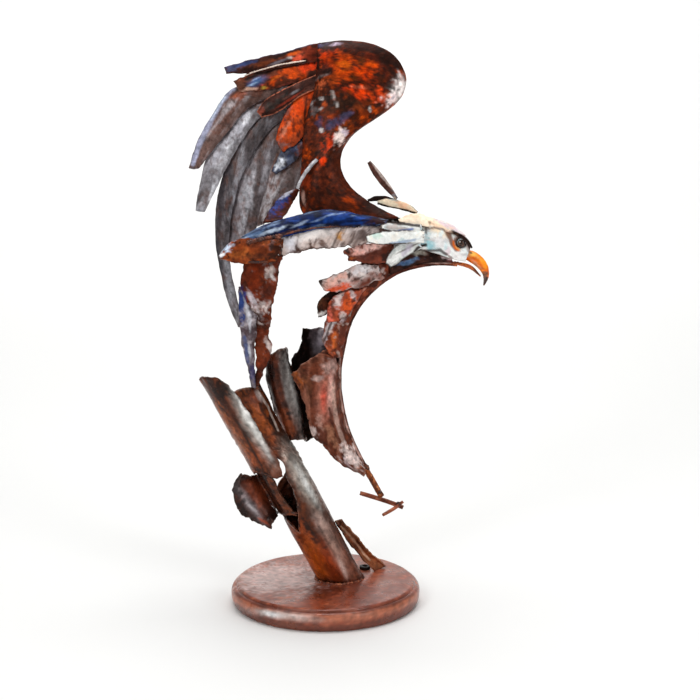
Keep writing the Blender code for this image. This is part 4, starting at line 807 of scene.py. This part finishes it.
# The dark grey patches along the left side, at 238, 140, 223, 190 and 219, 266, are painted shade on the
# curved side.
dress("wing_primary_3", BRUSHED, 0.5, (112, 106, 110), (streak, (70, 62, 62), 8, 0.42, 61, 100),
    (streak, (160, 158, 164), 6, 0.28, 62, 100), ((64, 58, 62), 223, 190, 5, 74, 6, 0.85),
    ((72, 56, 54), 238, 140, 4, 34, 28, 0.7), ((98, 58, 44), 262, 112, 14, 8, -40, 0.7),
    ((156, 156, 164), 236, 206, 5, 30, 4, 0.7), ((72, 70, 76), 219, 266, 3.5, 40, -10),
    ((168, 170, 178), 228, 272, 3, 28, -10, 0.6), (cloud, (92, 58, 46), 5, 0.24, 88, 0.6),
    (cloud, (46, 42, 46), 3, 0.2, 117, 0.6), (rim_wear_and_painted_light, (66, 60, 62), 0.8, 0.5))
dress("wing_primary_4", BRUSHED, 0.5, (124, 116, 120), (streak, (80, 68, 66), 7, 0.44, 63, 102),
    (streak, (176, 172, 178), 6, 0.28, 64, 102), ((100, 66, 52), 276, 128, 10, 18, 24, 0.7),
    ((176, 176, 182), 246, 200, 6, 28, 6, 0.7), ((72, 58, 56), 254, 158, 3.5, 28, 18, 0.65),
    (cloud, (100, 66, 54), 5, 0.26, 89, 0.6), (cloud, (54, 46, 48), 3, 0.2, 118, 0.6),
    (rim_wear_and_painted_light, (160, 158, 166), 0.8, 0.4))
dress("wing_primary_5", BRUSHED, 0.5, (128, 116, 116), (streak, (86, 68, 64), 7, 0.42, 65, 106),
    (streak, (184, 178, 182), 6, 0.28, 66, 106), ((108, 66, 48), 290, 150, 12, 18, 10, 0.7),
    ((204, 200, 204), 272, 200, 3, 20, 24, 0.65), (cloud, (104, 66, 52), 5, 0.3, 90, 0.7),
    (cloud, (60, 46, 44), 3, 0.2, 119, 0.6), (rim_wear_and_painted_light, (160, 156, 162), 0.8, 0.4))
dress("wing_covert_top", LACQUER, 0.4, (58, 30, 24), (streak, (94, 60, 52), 5, 0.34, 67, -30),
    (cloud, (34, 20, 17), 6, 0.3, 91), ((40, 42, 40), 276, 103, 14, 4, -34, 0.7),
    ((120, 118, 122), 294, 92, 6, 1.4, -30, 0.7), ((150, 66, 48), 262, 112, 3, 4, 30, 0.6),
    ((170, 62, 40), 290, 99, 16, 1.2, -34, 0.7), (rim_wear_and_painted_light, (196, 112, 84), 1.1, 0.95))
dress("wing_covert_middle", LACQUER, 1.2, (204, 70, 16), (cloud, (150, 64, 34), 8, 0.36, 68),
    (cloud, (226, 86, 22), 6, 0.3, 69), ((214, 62, 6), 298, 106, 6, 12, 24),
    ((214, 140, 112), 284, 128, 3, 12, 30, 0.6), ((64, 28, 18), 305, 114, 1.8, 20, 6, 0.9),
    ((120, 96, 92), 282, 146, 7, 5, 0, 0.75), ((110, 84, 78), 286, 112, 3, 9, 30, 0.6),
    (cloud, (54, 26, 18), 4, 0.2, 92), (rim_wear_and_painted_light, (76, 34, 22), 0.9, 0.8))
dress("wing_covert_low", BRUSHED, 0.7, (84, 90, 110), ((214, 218, 226), 280, 163, 7, 4.5, -40, 0.9),
    ((28, 36, 66), 292, 152, 8, 3.5, -40, 0.85), ((120, 56, 34), 300, 150, 5, 7, 0, 0.85),
    (cloud, (44, 34, 38), 5, 0.26, 93), (rim_wear_and_painted_light, (50, 30, 26), 0.9, 0.8))
dress("wing_bright_bar", BRUSHED, 0.4, (196, 194, 198), (cloud, (130, 126, 132), 5, 0.35, 70),
    (rim_wear_and_painted_light, (96, 84, 82), 0.6, 0.7))
dress("wing_gusset", LACQUER, 0.6, (80, 34, 20), ((30, 54, 116), 280, 204, 7, 14, 38, 0.9),
    ((186, 188, 200), 288, 193, 9, 2, -34), ((54, 26, 18), 268, 214, 6, 6, 0, 0.7),
    (cloud, (44, 22, 16), 6, 0.3, 71))
# The dark patch at 386, 222 is a painted shadow under the head's feathers.
dress("near_wing_arm", LACQUER, 0.5, (10, 28, 72), (cloud, (7, 10, 24), 9, 0.36, 72),
    (streak, (22, 56, 124), 4, 0.34, 73, -6), (streak, (6, 8, 16), 3, 0.26, 94, -10),
    ((44, 22, 15), 386, 222, 20, 6, 0, 0.9), ((26, 22, 28), 344, 226, 28, 2, 0),
    ((176, 190, 208), 272, 231, 18, 2, -18, 0.75), ((70, 98, 132), 252, 233, 16, 4, -18, 0.7),
    ((44, 50, 74), 262, 226, 14, 3, -20, 0.7), ((176, 190, 208), 240, 240, 8, 1.5, -18, 0.7),
    ((160, 176, 200), 300, 224, 10, 1.4, -24, 0.6), ((66, 44, 40), 284, 234, 16, 2.6, -14, 0.75),
    (streak, (120, 140, 170), 3, 0.08, 95, -16, 0.7), (rim_wear_and_painted_light, (70, 92, 140), 0.7, 0.4))
dress("near_wing_cover", PAINTED, 2.4, (206, 186, 178), (cloud, (226, 212, 208), 8, 0.42, 74),
    (streak, (120, 84, 72), 5, 0.3, 75, -62), ((208, 140, 44), 340, 234, 4, 5, 20, 0.9),
    ((58, 32, 23), 366, 236, 8, 8, 0, 0.85), ((236, 222, 216), 312, 233, 18, 6, -10, 0.85),
    ((226, 216, 212), 290, 241, 6, 6, -30, 0.75), ((210, 192, 186), 352, 236, 7, 5, 0, 0.6),
    ((90, 62, 54), 330, 231, 3, 6, 0, 0.6), (glow, (244, 236, 232), 312, 233, 34, 8, -10, 0.95),
    (glow, (228, 226, 234), 289, 242, 9, 14, -30, 0.95), (glow, (108, 92, 88), 358, 237, 12, 9, -10, 0.85),
    ((74, 40, 30), 322, 249.5, 30, 2.2, -6, 0.85), ((64, 34, 24), 300, 250, 8, 3.5, -14, 0.85),
    ((70, 40, 30), 297, 248, 3, 6, -30, 0.9), ((70, 40, 30), 311, 246, 3, 6, -30, 0.9),
    ((84, 50, 38), 324, 244, 2.6, 6, -30, 0.85), ((60, 40, 34), 285, 233, 2.6, 7, -30, 0.85),
    (streak, (60, 36, 28), 3, 0.14, 96, -70), (rim_wear_and_painted_light, (62, 34, 25), 1.1, 0.85))
dress("near_wing_tip", LACQUER, 1.3, (140, 62, 26), (cloud, (88, 38, 20), 9, 0.36, 76),
    (cloud, (170, 88, 42), 6, 0.28, 77), ((104, 50, 30), 252, 240, 16, 5, -10, 0.7),
    ((176, 92, 40), 240, 254, 10, 4, 0, 0.6), ((188, 206, 226), 226, 246, 9, 6, -40, 0.9),
    ((238, 242, 246), 221, 255, 4, 3, -40, 0.9), ((78, 40, 28), 262, 256, 18, 3, 0, 0.7),
    ((120, 108, 110), 270, 245, 3, 5, 0, 0.6), ((50, 26, 18), 277, 250, 7, 14, 0, 0.9),
    (cloud, (40, 22, 15), 4, 0.16, 97), (rim_wear_and_painted_light, (70, 36, 24), 0.8, 0.5))
dress("wing_plume_upper", LACQUER, 1.6, (96, 38, 20), (cloud, (52, 24, 16), 10, 0.4, 78),
    (cloud, (130, 56, 28), 7, 0.28, 79), ((122, 42, 14), 256, 278, 5, 18, 6, 0.7),
    ((186, 170, 164), 270, 271, 4, 10, 14, 0.9), ((50, 30, 26), 271, 262, 5, 4, 0, 0.7),
    ((232, 224, 222), 272, 277, 1.5, 5, -30), ((204, 188, 184), 260, 308, 8, 8, 40, 0.92),
    ((188, 178, 184), 252, 300, 3, 12, -24, 0.9), ((36, 56, 116), 244, 298, 3, 12, -8, 0.85),
    ((60, 28, 20), 266, 294, 7, 7, 0, 0.7), ((74, 66, 70), 260, 316, 2, 6, 30, 0.6),
    (cloud, (140, 124, 122), 4, 0.1, 98, 0.6), (rim_wear_and_painted_light, (60, 38, 32), 0.8, 0.5))
dress("wing_plume_left", LACQUER, 0.9, (128, 118, 126), (cloud, (64, 44, 46), 8, 0.36, 80),
    (cloud, (178, 168, 172), 6, 0.3, 81), ((36, 62, 124), 241, 304, 3.5, 16, -6, 0.95),
    ((206, 206, 214), 248, 312, 2.5, 18, -8), ((52, 76, 130), 247, 350, 2.5, 16, -10, 0.7),
    ((220, 220, 226), 250, 352, 1.5, 8, -6, 0.7), ((58, 28, 20), 256, 345, 3, 18, 0, 0.75),
    ((60, 60, 108), 254, 374, 4, 10, 0, 0.7))
dress("wing_plume_right", LACQUER, 1.6, (104, 42, 22), (cloud, (60, 27, 18), 8, 0.4, 82),
    ((196, 180, 176), 270, 346, 3, 9, -30, 0.85), ((206, 190, 186), 262, 322, 4, 5, 0, 0.7),
    ((130, 58, 32), 260, 352, 5, 12, 0, 0.6), (cloud, (140, 112, 104), 5, 0.12, 99, 0.6))

# The dark patch at 391, 218 and the dark line along the top are a painted shadow under the nape feather.
CHEEK_TOP = (PAINTED, 0.4, (250, 250, 246), ((34, 20, 15), 391, 218, 16, 2.8, 4, 1.0),
    (cloud, (206, 222, 226), 8, 0.3, 83, 0.6), ((104, 130, 196), 404, 230.5, 10, 1.8, -6, 0.92),
    (line, (40, 22, 16), 1.6, 0.9, [(385, 221), (400, 224), (414, 225.5), (425, 226)]),
    (streak, (176, 160, 154), 3, 0.16, 106, 4, 0.6), ((214, 196, 190), 392, 226, 10, 3, 10, 0.6),
    (rim_wear_and_painted_light, (40, 22, 16), 1.3, 0.95, 388, 230, 22, 14))
CHEEK_MIDDLE = (PAINTED, 0.4, (250, 252, 248), (cloud, (200, 228, 230), 9, 0.3, 84, 0.6),
    (cloud, (252, 240, 222), 6, 0.3, 85, 0.6), ((150, 172, 200), 402, 242, 18, 1.6, -8),
    (streak, (180, 170, 164), 3, 0.18, 107, -4, 0.5), ((196, 226, 210), 376, 236, 7, 4, 0, 0.6),
    (rim_wear_and_painted_light, (46, 26, 20), 1.3, 0.95, 384, 238, 32, 16))
CHEEK_LOW = (PAINTED, 0.4, (228, 230, 226), (cloud, (180, 188, 186), 6, 0.34, 86, 0.6),
    ((250, 250, 246), 396, 257, 3.5, 13, 42, 0.9), ((70, 46, 38), 408, 248, 14, 1.0, -26),
    (streak, (140, 120, 112), 3, 0.24, 108, -42, 0.6),
    (line, (44, 28, 24), 1.5, 0.95, [(415, 251.5), (417.5, 248.2), (421, 246), (425.5, 245)]),
    ((206, 196, 214), 406, 250, 3, 8, 42, 0.7), (rim_wear_and_painted_light, (46, 26, 20), 1.1, 0.9, 394, 258, 20, 20))
for row, look in (("top", CHEEK_TOP), ("middle", CHEEK_MIDDLE), ("low", CHEEK_LOW)):
    dress("cheek_feather_" + row, *look)
    shade = [((40, 24, 18), 391, 218, 18, 4, 4, 1.0)] if row == "top" else []
    dress("cheek_feather_" + row + "_far", *look, *shade)


# Welds, drawn in the front view and laid on the plates that show there

def front_ray(x, y):
    """From the front view's eye through a place in the view."""
    ahead, right, above = view_axes()
    way = ahead + right * (x - VIEW_MIDDLE) / VIEW_SCALE - above * (y - VIEW_MIDDLE) / VIEW_SCALE
    return Vector(EYE), Vector(way).normalized()


def laid(tree, x, y):
    """The spot on the plates behind a place in the view, as deep as what shows there or nearby."""
    start, way = front_ray(x, y)
    for reach in SEARCH_RINGS:
        for k in range(SEARCH_TURNS if reach else 1):
            turn = 2 * math.pi * k / SEARCH_TURNS
            _, near = front_ray(x + reach * math.cos(turn), y + reach * math.sin(turn))
            hit = tree.ray_cast(start, near)
            if hit[0]:
                return start + way * (hit[0] - start).dot(way)
    return None


def bead(name, spots, radius, slot, paint, pitch=BEAD_PITCH):
    """A scalloped weld along spots in the frame."""
    path = [spots[0]]
    for one, two in zip(spots, spots[1:]):
        steps = max(1, round((two - one).length / BEAD_STEP))
        path += [one.lerp(two, k / steps) for k in range(1, steps + 1)]
    rings, run, last = [], 0.0, len(path) - 1
    for k, spot in enumerate(path):
        ahead = (path[min(k + 1, last)] - path[max(k - 1, 0)]).normalized()
        run += (spot - path[k - 1]).length if k else 0.0
        side = ahead.orthogonal().normalized()
        end = min(1.0, BEAD_TIP + min(k, last - k) * BEAD_TAPER)
        size = radius * end * (BEAD_LOW + BEAD_SCALLOP * abs(math.sin(math.pi * run / pitch)))
        turns = np.linspace(0, 2 * math.pi, BEAD_SIDES + 1)[:-1]
        rings.append([spot + (side.cross(ahead) * math.sin(a) + side * math.cos(a)) * size for a in turns])
    piece = ringed(name, rings)
    points = points_of(piece.data)
    wave = drift(points, *BEAD_WAVE) * BEAD_WAVE_DEPTH
    piece.data.vertices.foreach_set("co", (points + wave).ravel())
    finish_piece(piece, points, np.full(len(points), NO_RIM), WELD, slot, *paint)


def foot_weld():
    """The weld round the trunk's foot, laid on the base along the foot's own outline."""
    points = np.array([v.co for v in frame["nodes"]["trunk_tube"].data.vertices])
    foot = points[points[:, 2] < points[:, 2].min() + FOOT_BAND]
    middle = foot.mean(axis=0)
    angles = np.arctan2(foot[:, 1] - middle[1], foot[:, 0] - middle[0])
    reach = np.hypot(foot[:, 0] - middle[0], foot[:, 1] - middle[1])
    spots = []
    for angle in np.linspace(-math.pi, math.pi, FOOT_SPOTS):
        near = np.abs(np.angle(np.exp(1j * (angles - angle)))) < FOOT_WINDOW
        if near.any():
            out = reach[near].max() + FOOT_GAP
            across, back = middle[0] + out * math.cos(angle), middle[1] + out * math.sin(angle)
            spots.append(Vector((across, back, BASE_THICKNESS)))
    bead("foot_weld", spots, FOOT_BEAD, "trunk_rust", WELD_FOOT, FOOT_PITCH)


def seam(name, nodes, places, radius, slot, paint):
    """A weld on some plates, through places in the view."""
    bm = bmesh.new()
    for node in nodes:
        bm.from_mesh(bpy.data.objects[node + "_fine"].data)
    tree = BVHTree.FromBMesh(bm)
    bm.free()
    spots = [laid(tree, x, y) for x, y in places]
    bead(name, [spot for spot in spots if spot], radius, slot, paint)


foot_weld()
seam("tip_seam", ("near_wing_arm", "near_wing_tip"),
     [(246, 243), (254, 241), (263, 239), (272, 237.5), (283, 235.5)], 0.0022, "wing_red", WELD_WING)
seam("tip_seam_low", ("near_wing_arm", "near_wing_tip"),
     [(257, 241), (266, 239.5), (275, 238.5), (281, 238)], 0.0019, "wing_red", WELD_WING)
seam("pale_rim", ("wing_edge_feather", "wing_top_feather"),
     [(244, 76), (252, 72.5), (262, 69.5), (280, 64.5), (306, 60.5)], 0.0007, "feather_pale", RIM_PALE)
seam("cover_seam", ("near_wing_arm", "near_wing_cover"),
     [(283, 235), (296, 231), (314, 228), (336, 226.5), (358, 227)], 0.0009, "wing_red", WELD_WING)
seam("tip_cover_seam", ("near_wing_cover", "near_wing_tip"),
     [(280, 239), (280.5, 247), (279.5, 255)], 0.0015, "wing_red", WELD_WING)
seam("plume_seam", ("near_wing_tip", "wing_plume_upper"),
     [(248, 262), (258, 262), (268, 261.5)], 0.0014, "wing_red", WELD_WING)
seam("shard_seam", ("trunk_shard", "trunk_side_strip"),
     [(256.5, 475), (262, 484.5), (268, 495), (275, 507)], 0.0016, "trunk_bark", WELD_DARK)
seam("lobe_seam", ("trunk_left_lobe", "trunk_side_strip"),
     [(256, 471.5), (262, 472.5), (268, 474.5)], 0.0012, "trunk_bark", WELD_DARK)
seam("strip_seam", ("trunk_tube", "trunk_side_strip"),
     [(291, 512), (295, 513.5), (298, 513)], 0.0013, "trunk_bark", WELD_DARK)
seam("leg_weld", ("leg_bar", "breast_rim"),
     [(362, 464), (366, 467), (369, 470)], 0.0028, "leg_orange", WELD_DARK)
seam("toe_weld", ("leg_bar", "long_toe"), [(378, 491), (381, 493)], 0.0026, "leg_orange", WELD_DARK)
seam("cross_weld", ("long_toe", "cross_toe"), [(397, 503), (400, 505)], 0.0024, "leg_orange", WELD_DARK)
seam("twig_weld", ("trunk_twig",), [(337, 522), (340, 526)], 0.0024, "trunk_bark", WELD_DARK)
seam("plume_foot_weld", ("trunk_tube",),
     [(252, 387), (257, 388), (262, 390)], 0.0016, "trunk_bark", WELD_DARK)
seam("beak_weld", ("breast_rim", "beak_lower"),
     [(451, 262.5), (456, 263), (462, 263.5)], 0.0014, "beak_horn", WELD_BEAK)
seam("crest_weld", ("crest_upright", "crest_cream"),
     [(394, 196.5), (396, 199)], 0.0007, "crest_cream", WELD_CREAM)
seam("cheek_weld_top", ("head_shell", "cheek_feather_top"),
     [(420.5, 224.5), (421, 230)], 0.0013, "head_white", WELD_WHITE)
seam("cheek_weld_middle", ("head_shell", "cheek_feather_middle"),
     [(423, 229.5), (423.5, 236), (423, 243)], 0.0015, "head_white", WELD_WHITE)
seam("cheek_weld_low", ("head_shell", "cheek_feather_low"),
     [(418, 244), (421.5, 247)], 0.0012, "head_white", WELD_WHITE)
seam("jaw_weld", ("breast_rim", "beak_lower"),
     [(452, 263.6), (458, 264), (464, 265.2), (470, 267.8)], 0.0012, "beak_horn", WELD_BEAK)


# Room

def turned_to(place, aim):
    return (Vector(aim) - Vector(place)).to_track_quat("-Z", "Y").to_euler()


def backdrop():
    """A pale floor that runs up behind into a wall."""
    profile = [(FLOOR_FRONT, 0.0), (FLOOR_BACK, 0.0)]
    for k in range(1, COVE_STEPS + 1):
        angle = 0.5 * math.pi * k / COVE_STEPS
        profile.append((FLOOR_BACK + COVE_RADIUS * math.sin(angle), COVE_RADIUS * (1 - math.cos(angle))))
    profile.append((FLOOR_BACK + COVE_RADIUS, WALL_TOP))
    bm = bmesh.new()
    rows = [[bm.verts.new((x, y, z)) for x in (-FLOOR_HALF_WIDTH, FLOOR_HALF_WIDTH)] for y, z in profile]
    for one, two in zip(rows, rows[1:]):
        bm.faces.new((one[0], one[1], two[1], two[0]))
    floor = placed("floor", bm)
    floor.data.shade_smooth()
    pale = bpy.data.materials.new("pale floor")
    pale.use_nodes = True
    shader = pale.node_tree.nodes["Principled BSDF"]
    shader.inputs["Base Color"].default_value = FLOOR_COLOUR
    shader.inputs["Roughness"].default_value = FLOOR_ROUGHNESS
    floor.data.materials.append(pale)


def lamp(name, place, aim, size, power):
    light = bpy.data.lights.new(name, "AREA")
    light.shape = "RECTANGLE"
    light.size, light.size_y = size
    light.energy = power
    holder = bpy.data.objects.new(name, light)
    holder.location = place
    holder.rotation_euler = turned_to(place, aim)
    bpy.context.scene.collection.objects.link(holder)


def room():
    """The floor, a pale surround, four soft lights and the camera."""
    world = bpy.data.worlds.new("room")
    bpy.context.scene.world = world
    world.use_nodes = True
    surround = world.node_tree.nodes["Background"]
    surround.inputs["Color"].default_value = (1.0, 1.0, 1.0, 1.0)
    surround.inputs["Strength"].default_value = DAYLIGHT
    backdrop()
    for values in LAMPS:
        lamp(*values)
    camera = bpy.data.cameras.new("camera")
    camera.lens = LENS
    camera.sensor_width = SENSOR
    camera.clip_end = SEEN_TO
    holder = bpy.data.objects.new("camera", camera)
    holder.location = EYE
    holder.rotation_euler = turned_to(EYE, AIM)
    bpy.context.scene.collection.objects.link(holder)
    bpy.context.scene.camera = holder
    bpy.context.scene.view_settings.view_transform = "Standard"


room()
